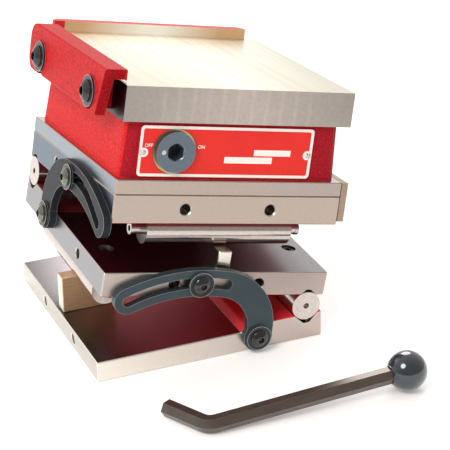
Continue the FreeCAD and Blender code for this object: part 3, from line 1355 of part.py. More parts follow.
# ------------------------------------------------------------------ hex key


def make_key():
    """Bent hex bar with a ball knob, lying on the bench in front."""
    bend = math.radians(s.key_bend.value)
    radius = s.key_bend_radius.value
    cutback = radius * math.tan(bend / 2)
    spigot_start = s.key_long_leg.value - s.key_neck_length.value
    away = FreeCAD.Vector(-math.cos(bend), math.sin(bend), 0)
    long_end = FreeCAD.Vector(spigot_start, 0, 0)
    long_start = FreeCAD.Vector(cutback, 0, 0)
    short_start = away * cutback
    short_end = away * s.key_short_leg.value
    centre = FreeCAD.Vector(cutback, radius, 0)
    toward = FreeCAD.Vector(0, 0, 0) - centre
    middle = centre + toward.normalize() * radius
    path = Part.Wire([Part.LineSegment(long_end, long_start).toShape(),
                      Part.Arc(long_start, middle, short_start).toShape(),
                      Part.LineSegment(short_start, short_end).toShape()])
    corner_radius = s.key_flats.value / math.sqrt(3)
    corners = [FreeCAD.Vector(spigot_start, corner_radius * math.cos(math.radians(60 * step)),
                              corner_radius * math.sin(math.radians(60 * step)))
               for step in range(7)]
    section = Part.makePolygon(corners)
    bar = path.makePipeShell([section], True, True)
    spigot = Part.makeCylinder(s.key_spigot_diameter.value / 2, s.key_neck_length.value,
                               FreeCAD.Vector(spigot_start - 0.5, 0, 0), FreeCAD.Vector(1, 0, 0))
    shaft = doc.addObject("Part::Feature", "key_shaft")
    shaft.Shape = bar.fuse(spigot).removeSplitter()
    rise = s.key_knob_diameter.value / 2 + 0.05 - s.key_corner_rise.value
    lean = -math.degrees(math.asin(rise / s.key_long_leg.value))
    corner = FreeCAD.Vector(-s.key_corner_left.value, -s.key_corner_ahead.value, s.key_corner_rise.value)
    laid = FreeCAD.Placement(corner, FreeCAD.Rotation(DIRECTIONS["back"], lean))
    node("key_shaft", shaft, laid)
    zero = as_size(0)
    ball = doc.addObject("Part::Sphere", "key_ball")
    bind(ball, "Radius", s.key_knob_diameter / 2)
    place(ball, (s.key_long_leg, zero, zero))
    neck = rod("key_neck", (s.key_long_leg - s.key_neck_length, zero, zero), "right",
               s.key_neck_diameter, s.key_neck_length)
    neck_end = s.key_long_leg - s.key_neck_length
    hole = rod("key_hole", (neck_end - 1.0, zero, zero), "right",
               s.key_spigot_diameter + 2 * s.seat_gap, s.key_neck_length + 1.0)
    flat = rod("key_flat", (neck_end - 3.0, zero, zero), "right", s.key_neck_diameter + 1.0, 3.0)
    node("key_knob", cut("key_knob", fuse("key_knob_solid", [ball, neck]), [hole, flat]), laid)


# ------------------------------------------------------------------ assembly

make_base_plate()
make_hinge("lower_hinge", as_point((lower_axis_x, 0, lower_axis_z)), "back", on_base, on_middle)
make_middle_plate()
make_sine_roll("lower_sine_roll", as_point((lower_roll_x, 0, lower_axis_z)), "back", on_middle)
make_hinge("upper_hinge", as_point((0, upper_axis_y, upper_axis_z)), "right", on_middle, on_upper)
make_upper_plate()
make_sine_roll("upper_sine_roll", as_point((0, upper_roll_y, upper_axis_z)), "right", on_upper)
make_side_bar()
make_arm("front_lock_arm", s.front_slot_radius, s.front_slot_centre_reach, s.front_slot_centre_drop,
         s.front_slot_reach, front_pivot, "front", 0.0, on_base)
make_arm("side_lock_arm", s.side_slot_radius, s.side_slot_centre_reach, s.side_slot_centre_drop,
         s.side_slot_reach, side_pivot, "left", s.side_arm_turn.value, on_middle)
make_arm_screw("front_pivot", front_pivot, "front", on_base)
make_arm_screw("front_lock", front_lock, "front", on_middle)
make_arm_screw("side_pivot", side_pivot, "left", on_middle)
make_arm_screw("side_lock", side_lock, "left", on_upper)
make_gauge_blocks()
make_chuck_base()
make_housing()
make_pole_plate()
make_switch()
make_magnets()
make_name_plate()
make_left_rail()
make_rear_rail()
make_rail_screws()
make_key()

doc.recompute()

# -------------------------------------------------------- check and write out

for thing in doc.Objects:
    if "Invalid" in thing.State or "Error" in thing.State:
        raise RuntimeError("%s (%s) is %s" % (thing.Name, thing.Label, thing.State))
for piece in NODES:
    if piece.Shape.isNull() or not piece.Shape.isValid() or not piece.Shape.Solids:
        raise RuntimeError("%s has no valid solid" % piece.Label)

os.makedirs("parts", exist_ok=True)
for piece in NODES:
    piece.Shape.exportStep("parts/%s.step" % piece.Label)
    print("%-26s %2d solids %10.1f mm3" % (piece.Label, len(piece.Shape.Solids), piece.Shape.Volume))
print("%d nodes" % len(NODES))
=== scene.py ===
import math

import bmesh
import bpy
from mathutils import Matrix, Vector


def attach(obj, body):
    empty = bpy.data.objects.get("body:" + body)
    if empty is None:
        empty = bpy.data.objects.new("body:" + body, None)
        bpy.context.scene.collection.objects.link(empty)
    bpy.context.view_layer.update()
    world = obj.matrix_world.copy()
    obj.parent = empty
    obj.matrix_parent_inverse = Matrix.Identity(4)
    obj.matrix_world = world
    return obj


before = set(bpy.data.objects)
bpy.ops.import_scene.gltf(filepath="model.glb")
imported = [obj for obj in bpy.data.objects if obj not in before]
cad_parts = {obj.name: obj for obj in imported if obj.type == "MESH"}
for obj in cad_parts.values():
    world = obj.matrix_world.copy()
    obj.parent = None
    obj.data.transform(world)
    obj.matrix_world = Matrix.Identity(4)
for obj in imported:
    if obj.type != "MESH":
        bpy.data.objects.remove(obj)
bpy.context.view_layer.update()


# ------------------------------------------------------------------ helpers


def tilt(level):
    """Placement of a level of the stack: 0 base, 1 lower sine plate, 2 upper sine plate."""
    # Roll centres and the gauge blocks' rises are in millimetres, hinges in metres.
    roll_centres = 127.0
    lower_rise = 25.05
    upper_rise = 13.05
    lower_hinge = Matrix.Translation((0.0655, 0.0, 0.023025))
    upper_hinge = Matrix.Translation((0.0, 0.0675, 0.056175))
    whole = Matrix.Identity(4)
    if level >= 1:
        turn = Matrix.Rotation(math.asin(lower_rise / roll_centres), 4, "Y")
        whole = lower_hinge @ turn @ lower_hinge.inverted()
    if level == 2:
        turn = Matrix.Rotation(-math.asin(upper_rise / roll_centres), 4, "X")
        whole = whole @ upper_hinge @ turn @ upper_hinge.inverted()
    return whole


def paint_nodes(name):
    """A new material with its node tree and shader."""
    material = bpy.data.materials.new(name)
    material.use_nodes = True
    tree = material.node_tree
    shader = tree.nodes["Principled BSDF"]
    return material, tree, shader


def add(tree, kind, **settings):
    """One node; settings are its attributes."""
    made = tree.nodes.new(kind)
    for key, value in settings.items():
        setattr(made, key, value)
    return made


def local_vector(tree, level):
    """Place on a level of the stack, measured in that level's closed position."""
    source = add(tree, "ShaderNodeTexCoord")
    mapping = add(tree, "ShaderNodeMapping", vector_type="TEXTURE")
    place = tilt(level)
    mapping.inputs["Location"].default_value = place.to_translation()
    mapping.inputs["Rotation"].default_value = place.to_euler("XYZ")
    tree.links.new(source.outputs["Object"], mapping.inputs["Vector"])
    return mapping.outputs["Vector"]


def local_normal(tree, level):
    """Direction a face looks in, in a level's closed position."""
    source = add(tree, "ShaderNodeNewGeometry")
    mapping = add(tree, "ShaderNodeMapping", vector_type="TEXTURE")
    mapping.inputs["Rotation"].default_value = tilt(level).to_euler("XYZ")
    tree.links.new(source.outputs["True Normal"], mapping.inputs["Vector"])
    return mapping.outputs["Vector"]


def split(tree, vector):
    """The three coordinates of a vector, by the names X, Y and Z."""
    made = add(tree, "ShaderNodeSeparateXYZ")
    tree.links.new(vector, made.inputs[0])
    return made.outputs


def math_node(tree, operation, *values, clamp=False):
    """Result of one sum on up to three values, each a number or a link."""
    made = add(tree, "ShaderNodeMath", operation=operation, use_clamp=clamp)
    for socket, value in zip(made.inputs, values):
        if isinstance(value, (int, float)):
            socket.default_value = value
        else:
            tree.links.new(value, socket)
    return made.outputs[0]


def mix_colours(tree, factor, first, second):
    """first where factor is 0, second where it is 1; colours are tuples or links."""
    made = add(tree, "ShaderNodeMix", data_type="RGBA")
    for socket, value in ((made.inputs[0], factor), (made.inputs[6], first), (made.inputs[7], second)):
        if isinstance(value, tuple):
            socket.default_value = value + (1.0,)
        elif isinstance(value, (int, float)):
            socket.default_value = value
        else:
            tree.links.new(value, socket)
    return made.outputs[2]


def multiply_colours(tree, first, second):
    """Product of two links, colours or values, channel by channel."""
    made = add(tree, "ShaderNodeMix", data_type="RGBA", blend_type="MULTIPLY")
    made.inputs[0].default_value = 1.0
    tree.links.new(first, made.inputs[6])
    tree.links.new(second, made.inputs[7])
    return made.outputs[2]


def mix_values(tree, factor, first, second):
    """first where factor is 0, second where it is 1."""
    gap = math_node(tree, "SUBTRACT", second, first)
    scaled = math_node(tree, "MULTIPLY", gap, factor)
    return math_node(tree, "ADD", scaled, first)


def new_group(name, inputs, outputs):
    """An empty node group with its sockets, and its two end nodes."""
    group = bpy.data.node_groups.new(name, "ShaderNodeTree")
    for label, kind in inputs:
        group.interface.new_socket(label, in_out="INPUT", socket_type=kind)
    for label, kind in outputs:
        group.interface.new_socket(label, in_out="OUTPUT", socket_type=kind)
    return group, group.nodes.new("NodeGroupInput"), group.nodes.new("NodeGroupOutput")


def make_grain_group():
    """Stretched noise for ground, brushed or crinkled surfaces, with its bump."""
    group, entry, leave = new_group(
        "surface_grain",
        (("Vector", "NodeSocketVector"), ("Stretch", "NodeSocketVector"),
         ("Strength", "NodeSocketFloat"), ("Depth", "NodeSocketFloat")),
        (("Value", "NodeSocketFloat"), ("Normal", "NodeSocketVector")))
    scaled = add(group, "ShaderNodeVectorMath", operation="MULTIPLY")
    group.links.new(entry.outputs["Vector"], scaled.inputs[0])
    group.links.new(entry.outputs["Stretch"], scaled.inputs[1])
    noise = add(group, "ShaderNodeTexNoise")
    noise.inputs["Scale"].default_value = 1.0
    noise.inputs["Detail"].default_value = 4.0
    noise.inputs["Roughness"].default_value = 0.6
    group.links.new(scaled.outputs[0], noise.inputs["Vector"])
    bump = add(group, "ShaderNodeBump")
    group.links.new(entry.outputs["Strength"], bump.inputs["Strength"])
    group.links.new(entry.outputs["Depth"], bump.inputs["Distance"])
    group.links.new(noise.outputs["Fac"], bump.inputs["Height"])
    group.links.new(noise.outputs["Fac"], leave.inputs["Value"])
    group.links.new(bump.outputs["Normal"], leave.inputs["Normal"])
    return group


def make_edge_group():
    """Mask that is 1 close to a sharp edge of a piece."""
    group, entry, leave = new_group(
        "edge_mask", (("Radius", "NodeSocketFloat"),), (("Mask", "NodeSocketFloat"),))
    bevel = add(group, "ShaderNodeBevel", samples=6)
    geometry = add(group, "ShaderNodeNewGeometry")
    product = add(group, "ShaderNodeVectorMath", operation="DOT_PRODUCT")
    group.links.new(entry.outputs["Radius"], bevel.inputs["Radius"])
    group.links.new(bevel.outputs["Normal"], product.inputs[0])
    group.links.new(geometry.outputs["Normal"], product.inputs[1])
    steepness = 9.0
    away = math_node(group, "SUBTRACT", 1.0, product.outputs["Value"])
    strong = math_node(group, "MULTIPLY", away, steepness, clamp=True)
    group.links.new(strong, leave.inputs["Mask"])
    return group


grain_group = make_grain_group()
edge_group = make_edge_group()


def grain(tree, vector, stretch, strength, depth):
    """Value and Normal of a grain: waves per metre, bump strength, bump height in metres."""
    made = add(tree, "ShaderNodeGroup", node_tree=grain_group)
    tree.links.new(vector, made.inputs["Vector"])
    made.inputs["Stretch"].default_value = stretch
    made.inputs["Strength"].default_value = strength
    made.inputs["Depth"].default_value = depth
    return made.outputs


def edges(tree, radius):
    """1 within a radius of a sharp edge."""
    made = add(tree, "ShaderNodeGroup", node_tree=edge_group)
    made.inputs["Radius"].default_value = radius
    return made.outputs["Mask"]


def dress(material, *names):
    """Give a material to CAD nodes."""
    for name in names:
        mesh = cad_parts[name].data
        mesh.materials.clear()
        mesh.materials.append(material)


def plain(name, colour, metallic, roughness, level=0, stretch=(300, 300, 300), contrast=0.12,
          strength=0.05, depth=0.0002, edge_highlight=None, edge_highlight_radius=0.0005, specular=0.5, coat=0.0):
    """One colour with a grain through it and, if asked, lighter edges: a painted highlight."""
    material, tree, shader = paint_nodes(name)
    noise = grain(tree, local_vector(tree, level), stretch, strength, depth)
    darker = tuple(channel * (1.0 - contrast) for channel in colour)
    lighter = tuple(min(1.0, channel * (1.0 + contrast)) for channel in colour)
    shade = mix_colours(tree, noise["Value"], darker, lighter)
    # painted highlight along the sharp edges
    if edge_highlight is not None:
        shade = mix_colours(tree, edges(tree, edge_highlight_radius), shade, edge_highlight)
    tree.links.new(shade, shader.inputs["Base Color"])
    tree.links.new(noise["Normal"], shader.inputs["Normal"])
    shader.inputs["Metallic"].default_value = metallic
    shader.inputs["Roughness"].default_value = roughness
    shader.inputs["Specular IOR Level"].default_value = specular
    shader.inputs["Coat Weight"].default_value = coat
    return material


def facing(tree, component, limit):
    """1 where a normal's component lies past a limit, away from zero."""
    operation = "GREATER_THAN" if limit > 0 else "LESS_THAN"
    return math_node(tree, operation, component, limit)


def ramp_along(tree, component, start, end):
    """0 at start and 1 at end of a stretch of one coordinate, in metres."""
    moved = math_node(tree, "SUBTRACT", component, start)
    return math_node(tree, "DIVIDE", moved, end - start, clamp=True)


# ------------------------------------------------------- red painted pieces
# Crinkle enamel, brightest on the faces turned to the left, with painted shade: a darker colour on the
# faces in front and on top, and on the rail a near-black colour on its inner faces below the pole
# plate's top. The bumps' tops are lighter than the hollows.


def make_red_paint(name, lit, front, inner, scale):
    """Crinkle enamel in the colour lit, with painted shade: the colour front on its faces in front,
    the colour inner on its inner ones, to the right, and a little darker on top.
    """
    pole_top = 0.1496
    top_shade_share = 0.92
    worn_red = (0.66, 0.05, 0.045)
    material, tree, shader = paint_nodes(name)
    place = local_vector(tree, 2)
    normal = split(tree, local_normal(tree, 2))
    crinkle = grain(tree, place, (scale, scale, scale), 1.0, 0.0006)
    # painted shade: faces in front take the darker colour front
    shade = mix_colours(tree, facing(tree, normal["Y"], -0.6), lit, front)
    # painted shade: faces looking up are a little darker than lit
    shaded_top = tuple(channel * top_shade_share for channel in lit)
    shade = mix_colours(tree, facing(tree, normal["Z"], 0.6), shade, shaded_top)
    # painted shade: inner faces below the pole plate's top take the colour inner
    below_top = math_node(tree, "LESS_THAN", split(tree, place)["Z"], pole_top)
    inside = math_node(tree, "MULTIPLY", facing(tree, normal["X"], 0.8), below_top)
    shade = mix_colours(tree, inside, shade, inner)
    bumps = math_node(tree, "MULTIPLY", crinkle["Value"], 2.0)
    shade = multiply_colours(tree, shade, bumps)
    shade = mix_colours(tree, edges(tree, 0.0008), shade, worn_red)
    tree.links.new(shade, shader.inputs["Base Color"])
    tree.links.new(crinkle["Normal"], shader.inputs["Normal"])
    shader.inputs["Roughness"].default_value = 0.42
    shader.inputs["Specular IOR Level"].default_value = 0.06
    return material


housing_red = make_red_paint("red_crinkle", lit=(0.66, 0.018, 0.022), front=(0.36, 0.010, 0.020),
                             inner=(0.66, 0.018, 0.022), scale=800)
dress(housing_red, "chuck_housing")
# On the rail the inner faces are painted near black, as painted shade in the gap beside the pole
# plate.
rail_red = make_red_paint("red_cast_crinkle", lit=(0.54, 0.013, 0.017), front=(0.36, 0.007, 0.012),
                          inner=(0.0324, 0.00078, 0.00102), scale=700)
dress(rail_red, "left_stop_rail")


# ------------------------------------------------------------ ground plates
# Sides are fine ground, the low top faces are lapped and mirror the painted undersides above them, and
# the hinge lands and undersides are painted. Painted light on top of that: the fronts, the left faces
# and the low top faces carry painted reflection and shade, the red is darker where it lies in shade
# between the plates, and the sharp edges carry a painted highlight.


def plate_material(name, level, front, left_face_reflection, top, painted_top=(1.0, (0.0, 0.0, 0.0)),
                   painted_foot=(-1.0, (0.0, 0.0, 0.0))):
    """Ground plate with a lapped top, with painted reflection and shade on its faces and a painted
    highlight on its edges.

    front and top are pairs of colours, left and right, and a further colour is given for the faces
    turned to the left: all three are painted reflection and shade. painted_top and painted_foot are a
    height and a colour: faces above the first are painted, and so is the underside at the second.
    Without them both heights lie where no plate is.
    """
    half_width = 0.076
    top_blend_from, top_blend_to = -0.074, -0.030
    above_step, below_step = 0.00006, 0.0006
    plate_edge_highlight = (0.86, 0.80, 0.72)
    material, tree, shader = paint_nodes(name)
    place = local_vector(tree, level)
    spot = split(tree, place)
    normal = split(tree, local_normal(tree, level))
    fine = grain(tree, place, (420, 420, 1400), 0.10, 0.0001)
    crinkle = grain(tree, place, (1100, 1100, 1100), 0.5, 0.0003)
    # painted reflection: the front shades from the left colour to the right one
    shade = mix_colours(tree, ramp_along(tree, spot["X"], -half_width, half_width), *front)
    # painted reflection and shade on the faces turned to the left
    shade = mix_colours(tree, facing(tree, normal["X"], -0.8), shade, left_face_reflection)
    upward = facing(tree, normal["Z"], 0.9)
    inboard = ramp_along(tree, spot["X"], top_blend_from, top_blend_to)
    # painted reflection on the low top faces, from the left colour to the right one
    shade = mix_colours(tree, upward, shade, mix_colours(tree, inboard, *top))
    speckle = mix_colours(tree, fine["Value"], (0.84, 0.84, 0.84), (1.12, 1.12, 1.12))
    shade = multiply_colours(tree, shade, speckle)
    top_height, top_paint = painted_top
    foot_height, foot_paint = painted_foot
    raised = math_node(tree, "GREATER_THAN", spot["Z"], top_height + above_step)
    above = math_node(tree, "MULTIPLY", raised, facing(tree, normal["Z"], 0.3))
    low = math_node(tree, "LESS_THAN", spot["Z"], foot_height + below_step)
    below = math_node(tree, "MULTIPLY", low, facing(tree, normal["Z"], -0.3))
    paint = math_node(tree, "ADD", above, below, clamp=True)
    bright = mix_colours(tree, below, top_paint, foot_paint)
    hollows = mix_colours(tree, 0.45, bright, (0.0, 0.0, 0.0))
    red = mix_colours(tree, crinkle["Value"], hollows, bright)
    # painted highlight along the sharp edges
    shade = mix_colours(tree, edges(tree, 0.0004), shade, plate_edge_highlight)
    tree.links.new(mix_colours(tree, paint, shade, red), shader.inputs["Base Color"])
    tree.links.new(math_node(tree, "SUBTRACT", 1.0, paint), shader.inputs["Metallic"])
    rough = mix_values(tree, upward, 0.36, 0.22)
    tree.links.new(mix_values(tree, paint, rough, 0.5), shader.inputs["Roughness"])
    tree.links.new(fine["Normal"], shader.inputs["Normal"])
    return material


# Each plate's front, left face and top colours are painted reflection and shade, and its red is
# painted lighter or darker by how much light reaches it: brightest on the base.
base_steel = plate_material(
    "base_steel", 0, front=((0.88, 0.86, 0.78), (0.50, 0.41, 0.38)), left_face_reflection=(0.62, 0.60, 0.56),
    top=((0.13, 0.125, 0.125), (0.52, 0.44, 0.47)), painted_top=(0.0135, (0.92, 0.028, 0.045)),
    painted_foot=(-0.001, (0.80, 0.022, 0.042)))
dress(base_steel, "base_plate")

# painted shade: the middle plate's lands are painted a dark red, in the shade under the upper plate
middle_steel = plate_material(
    "middle_steel", 1, front=((0.54, 0.47, 0.44), (0.47, 0.39, 0.37)), left_face_reflection=(0.32, 0.32, 0.34),
    top=((0.22, 0.22, 0.25), (0.30, 0.27, 0.28)), painted_top=(0.04665, (0.12, 0.004, 0.008)),
    painted_foot=(0.03075, (0.80, 0.022, 0.042)))
dress(middle_steel, "middle_plate")

# painted shade: the upper plate's underside is painted a darker red, and its left face a dark slate
# reflection
upper_steel = plate_material(
    "upper_steel", 2, front=((0.48, 0.41, 0.36), (0.48, 0.40, 0.35)), left_face_reflection=(0.155, 0.20, 0.245),
    top=((0.50, 0.47, 0.43), (0.50, 0.47, 0.43)), painted_foot=(0.0639, (0.34, 0.012, 0.034)))
dress(upper_steel, "upper_plate")

# painted reflection: a slate colour on the flange's left face
flange_steel = plate_material(
    "flange_steel", 2, front=((0.48, 0.40, 0.35), (0.43, 0.36, 0.33)), left_face_reflection=(0.31, 0.36, 0.41),
    top=((0.60, 0.55, 0.50), (0.60, 0.55, 0.50)))
dress(flange_steel, "chuck_base_plate")


# --------------------------------------------------------------- pole plate
# Steel bars and softer brass spacers ground flush together, with faint grinding streaks from front to
# back, and painted light: a painted highlight on top and in the middle of the front, and painted shade
# on the left side.


def make_pole_material(name, top, front):
    """Ground metal, with a painted highlight in the middle of its front and along the middle of its
    top, painted shade on its left side, and a front darker than its top.
    """
    front_bright_to, front_dim_from = 0.008, 0.070
    top_bright_to, top_dim_from = 0.012, 0.085
    slant = -0.35
    material, tree, shader = paint_nodes(name)
    place = local_vector(tree, 2)
    spot = split(tree, place)
    normal = split(tree, local_normal(tree, 2))
    streaks = grain(tree, place, (420, 9, 420), 0.05, 0.0001)
    cloud = grain(tree, place, (22, 5, 22), 0.0, 0.0001)
    upward = facing(tree, normal["Z"], 0.9)
    # painted light: the front is given a darker colour than the top
    shade = mix_colours(tree, upward, front, top)
    aside = math_node(tree, "ABSOLUTE", spot["X"])
    # painted highlight in the middle of the front, dimmer towards its ends
    outer = ramp_along(tree, aside, front_bright_to, front_dim_from)
    front_highlight = mix_colours(tree, outer, (1.18, 1.16, 1.12), (0.88, 0.88, 0.88))
    # painted highlight along the middle of the top, slanted, warmer and dimmer towards the back and
    # the ends
    slanted = math_node(tree, "ADD", aside, math_node(tree, "MULTIPLY", spot["Y"], slant))
    away = ramp_along(tree, slanted, top_bright_to, top_dim_from)
    top_highlight = mix_colours(tree, away, (1.12, 1.12, 1.12), (0.80, 0.76, 0.69))
    painted_light = mix_colours(tree, upward, front_highlight, top_highlight)
    # painted shade on the left side, in the rail's shadow
    painted_light = mix_colours(tree, facing(tree, normal["X"], -0.8), painted_light, (0.10, 0.11, 0.15))
    shade = multiply_colours(tree, shade, painted_light)
    noise = math_node(tree, "ADD", streaks["Value"], cloud["Value"])
    shade = multiply_colours(tree, shade, math_node(tree, "MULTIPLY_ADD", noise, 0.30, 0.70))
    tree.links.new(shade, shader.inputs["Base Color"])
    tree.links.new(streaks["Normal"], shader.inputs["Normal"])
    shader.inputs["Metallic"].default_value = 1.0
    shader.inputs["Roughness"].default_value = 0.28
    return material


pole_steel = make_pole_material("pole_steel", top=(0.80, 0.78, 0.70), front=(0.38, 0.345, 0.32))
dress(pole_steel, "pole_bars")
pole_brass = make_pole_material("pole_brass", top=(0.82, 0.74, 0.58), front=(0.41, 0.37, 0.335))
dress(pole_brass, "pole_spacers")


# --------------------------------------------------------------- stop rails
# The rear rail is painted except for its ground front face, which carries a painted reflection of the
# pole plate: brightest in the middle and warmer towards the ends.


def make_rear_rail_material():
    """Red crinkle round a ground face that starts a little in from the left end."""
    ground_from = -0.0625
    bright_to, warm_from = 0.006, 0.050
    material, tree, shader = paint_nodes("rear_rail_finish")
    place = local_vector(tree, 2)
    spot = split(tree, place)
    normal = split(tree, local_normal(tree, 2))
    bare = math_node(tree, "GREATER_THAN", spot["X"], ground_from)
    front = math_node(tree, "MULTIPLY", facing(tree, normal["Y"], -0.8), bare)
    crinkle = grain(tree, place, (900, 900, 900), 0.6, 0.0004)
    red = mix_colours(tree, crinkle["Value"], (0.42, 0.010, 0.014), (0.80, 0.03, 0.034))
    # painted reflection on the ground face, bright in the middle and warm towards the ends
    aside = ramp_along(tree, math_node(tree, "ABSOLUTE", spot["X"]), bright_to, warm_from)
    ground_face_reflection = mix_colours(tree, aside, (1.0, 1.0, 0.92), (0.68, 0.45, 0.25))
    tree.links.new(mix_colours(tree, front, red, ground_face_reflection), shader.inputs["Base Color"])
    tree.links.new(math_node(tree, "MULTIPLY", front, 0.25), shader.inputs["Metallic"])
    shader.inputs["Roughness"].default_value = 0.42
    shader.inputs["Specular IOR Level"].default_value = 0.25
    tree.links.new(crinkle["Normal"], shader.inputs["Normal"])
    return material


dress(make_rear_rail_material(), "rear_stop_rail")


# ----------------------------------------------------------------- side bar
# Ground bar on the right, a little browner than the plates, with its
# grinding marks from front to back.

side_steel = plain("side_bar_steel", (0.34, 0.255, 0.185), 1.0, 0.36, level=2,
                   stretch=(500, 20, 500), contrast=0.15)
dress(side_steel, "side_bar")


# ---------------------------------------------------- rolls, pins, knuckles
# Cylinders ground round and bright, with a strong speckle that shows on
# their flat ends.

roll_steel = plain("roll_steel", (0.54, 0.49, 0.465), 1.0, 0.17, level=1,
                   stretch=(700, 700, 700), contrast=0.30, strength=0.03, depth=0.0001)
dress(roll_steel, "lower_sine_roll", "upper_sine_roll", "lower_hinge_centre_knuckle",
      "lower_hinge_end_knuckles", "upper_hinge_centre_knuckle", "upper_hinge_end_knuckles",
      "lower_hinge_pin", "upper_hinge_pin")


# ---------------------------------------------------------------- lock arms
# Blued steel strips with a painted highlight on their edges. The side arm, in shade on the left, is
# painted darker and has nearly no sheen.

front_arm_steel = plain("front_arm_blue", (0.042, 0.064, 0.078), 0.45, 0.40, level=0,
                        stretch=(60, 60, 60), contrast=0.15, strength=0.04,
                        edge_highlight=(0.42, 0.45, 0.45), edge_highlight_radius=0.0004)
dress(front_arm_steel, "front_lock_arm")
# painted shade: the side arm is given a darker colour than the front arm
side_arm_shaded = plain("side_arm_blue_shaded", (0.026, 0.029, 0.034), 0.3, 0.40, level=0,
                       stretch=(60, 60, 60), contrast=0.15, strength=0.04,
                       edge_highlight=(0.50, 0.52, 0.52), edge_highlight_radius=0.0004, specular=0.06)
dress(side_arm_shaded, "side_lock_arm")


# ------------------------------------------------------- screws and washers
# Black oxide with a painted highlight on the edges: on the washers' rims and in the heads' sockets.
# The side arm's two screws are painted paler, a lit copy of the black ones.

screw_black = plain("button_black", (0.060, 0.062, 0.066), 0.9, 0.20, level=0,
                    stretch=(500, 500, 500), contrast=0.2, edge_highlight=(0.42, 0.42, 0.43),
                    edge_highlight_radius=0.0003)
dress(screw_black, "front_pivot_screw", "front_lock_screw", "left_rail_screws", "rear_rail_screws")
# painted light: the side arm's screws are a paler, lit copy of the black ones
lit_screw = plain("button_black_lit", (0.20, 0.20, 0.175), 1.0, 0.24, level=0, stretch=(500, 500, 500),
                   contrast=0.2, edge_highlight=(0.60, 0.60, 0.56), edge_highlight_radius=0.0003)
dress(lit_screw, "side_pivot_screw", "side_lock_screw")
washer_black = plain("washer_black", (0.035, 0.040, 0.045), 0.6, 0.28, level=0,
                     stretch=(300, 300, 300), contrast=0.2, edge_highlight=(0.80, 0.80, 0.80),
                     edge_highlight_radius=0.0005)
dress(washer_black, "front_pivot_washer", "front_lock_washer", "side_pivot_washer",
      "side_lock_washer", "left_rail_washers", "rear_rail_washers")
cap_black = plain("cap_black", (0.03, 0.031, 0.034), 0.5, 0.32, level=0, contrast=0.2)
dress(cap_black, "lower_hinge_screws", "middle_roll_screws", "upper_hinge_screws",
      "upper_roll_screws", "chuck_hold_down_screws", "chuck_tie_screws", "side_bar_screws")


# ------------------------------------------------------------- gauge blocks
# Lapped steel: the lower block has a painted highlight on its left end and edges and is warm in front,
# the upper one mirrors what stands round it.


def make_lower_block_material():
    """Lapped steel with a painted highlight on its left end and edges."""
    material, tree, shader = paint_nodes("lower_block_steel")
    normal = split(tree, local_normal(tree, 0))
    lit_left_end = facing(tree, normal["X"], -0.8)
    lapped = grain(tree, local_vector(tree, 0), (150, 150, 900), 0.02, 0.0001)
    warm = mix_colours(tree, lapped["Value"], (0.46, 0.29, 0.15), (0.76, 0.53, 0.32))
    # painted highlight on the left end
    shade = mix_colours(tree, lit_left_end, warm, (0.86, 0.84, 0.74))
    # painted highlight along the sharp edges
    shade = mix_colours(tree, edges(tree, 0.0004), shade, (0.92, 0.88, 0.78))
    tree.links.new(shade, shader.inputs["Base Color"])
    shader.inputs["Metallic"].default_value = 0.5
    shader.inputs["Roughness"].default_value = 0.26
    return material


dress(make_lower_block_material(), "lower_gauge_block")
block_steel = plain("upper_block_steel", (0.84, 0.79, 0.70), 1.0, 0.20, level=1,
                    stretch=(200, 200, 900), contrast=0.06, strength=0.02, depth=0.0001)
dress(block_steel, "upper_gauge_block")


# ------------------------------------------------------------------- switch
# Dark turned dial with a painted highlight on its edges and a bright index pin. A brass bush carries
# it in front, and another one behind.

dial_steel = plain("dial_steel", (0.12, 0.155, 0.19), 0.75, 0.30, level=2,
                   stretch=(500, 500, 500), contrast=0.15, edge_highlight=(0.35, 0.36, 0.36),
                   edge_highlight_radius=0.0004)
dress(dial_steel, "switch_shaft")
bush_brass = plain("bush_brass", (0.44, 0.34, 0.20), 1.0, 0.28, level=2, contrast=0.1)
dress(bush_brass, "switch_bush", "switch_rear_bush")
pin_bright = plain("pin_bright", (0.50, 0.50, 0.48), 1.0, 0.25, level=2, contrast=0.05)
dress(pin_bright, "switch_index_pin")


# ------------------------------------------------------------- inner pieces
# Tray and magnets inside the housing, seen only when the chuck is taken
# apart.

tray_steel = plain("tray_steel", (0.42, 0.42, 0.43), 1.0, 0.35, level=2)
dress(tray_steel, "magnet_carrier")
magnet_dark = plain("magnet_dark", (0.06, 0.058, 0.055), 0.0, 0.6, level=2)
dress(magnet_dark, "magnet_bars")


# --------------------------------------------------------------- name plate
# Red sheet metal with two bright rivets, and white printing a hair's
# breadth in front of it. Printing is laid out in the closed position, in
# millimetres, and carried to its place by on_plate.

plate_red = plain("plate_red", (0.76, 0.019, 0.011), 0.0, 0.34, level=2,
                  stretch=(60, 60, 60), contrast=0.10, strength=0.01, specular=0.3)
dress(plate_red, "name_plate")
rivet_metal = plain("rivet_metal", (0.62, 0.62, 0.60), 1.0, 0.28, level=2, contrast=0.1)
dress(rivet_metal, "name_plate_rivets")
print_white = plain("print_white", (0.90, 0.86, 0.82), 0.0, 0.4, level=2,
                    stretch=(200, 200, 200), contrast=0.04, strength=0.01)

# The plate's front face, and how far border and letters stand before it.
plate_face = -73.4
print_raise = 0.03
letter_raise = 0.05


def on_plate(x, z):
    """Where a point of the printing stands in the tilted chuck, in metres."""
    return tilt(2) @ (Vector((x, plate_face - print_raise, z)) / 1000.0)


def rounded_loop(left, right, low, high, radius, steps=6):
    """Points of a rounded rectangle, anticlockwise from the lower right."""
    points = []
    centres = ((right - radius, low + radius, -90), (right - radius, high - radius, 0),
               (left + radius, high - radius, 90), (left + radius, low + radius, 180))
    for x, z, start in centres:
        for step in range(steps + 1):
            angle = math.radians(start + 90.0 * step / steps)
            points.append((x + radius * math.cos(angle), z + radius * math.sin(angle)))
    return points


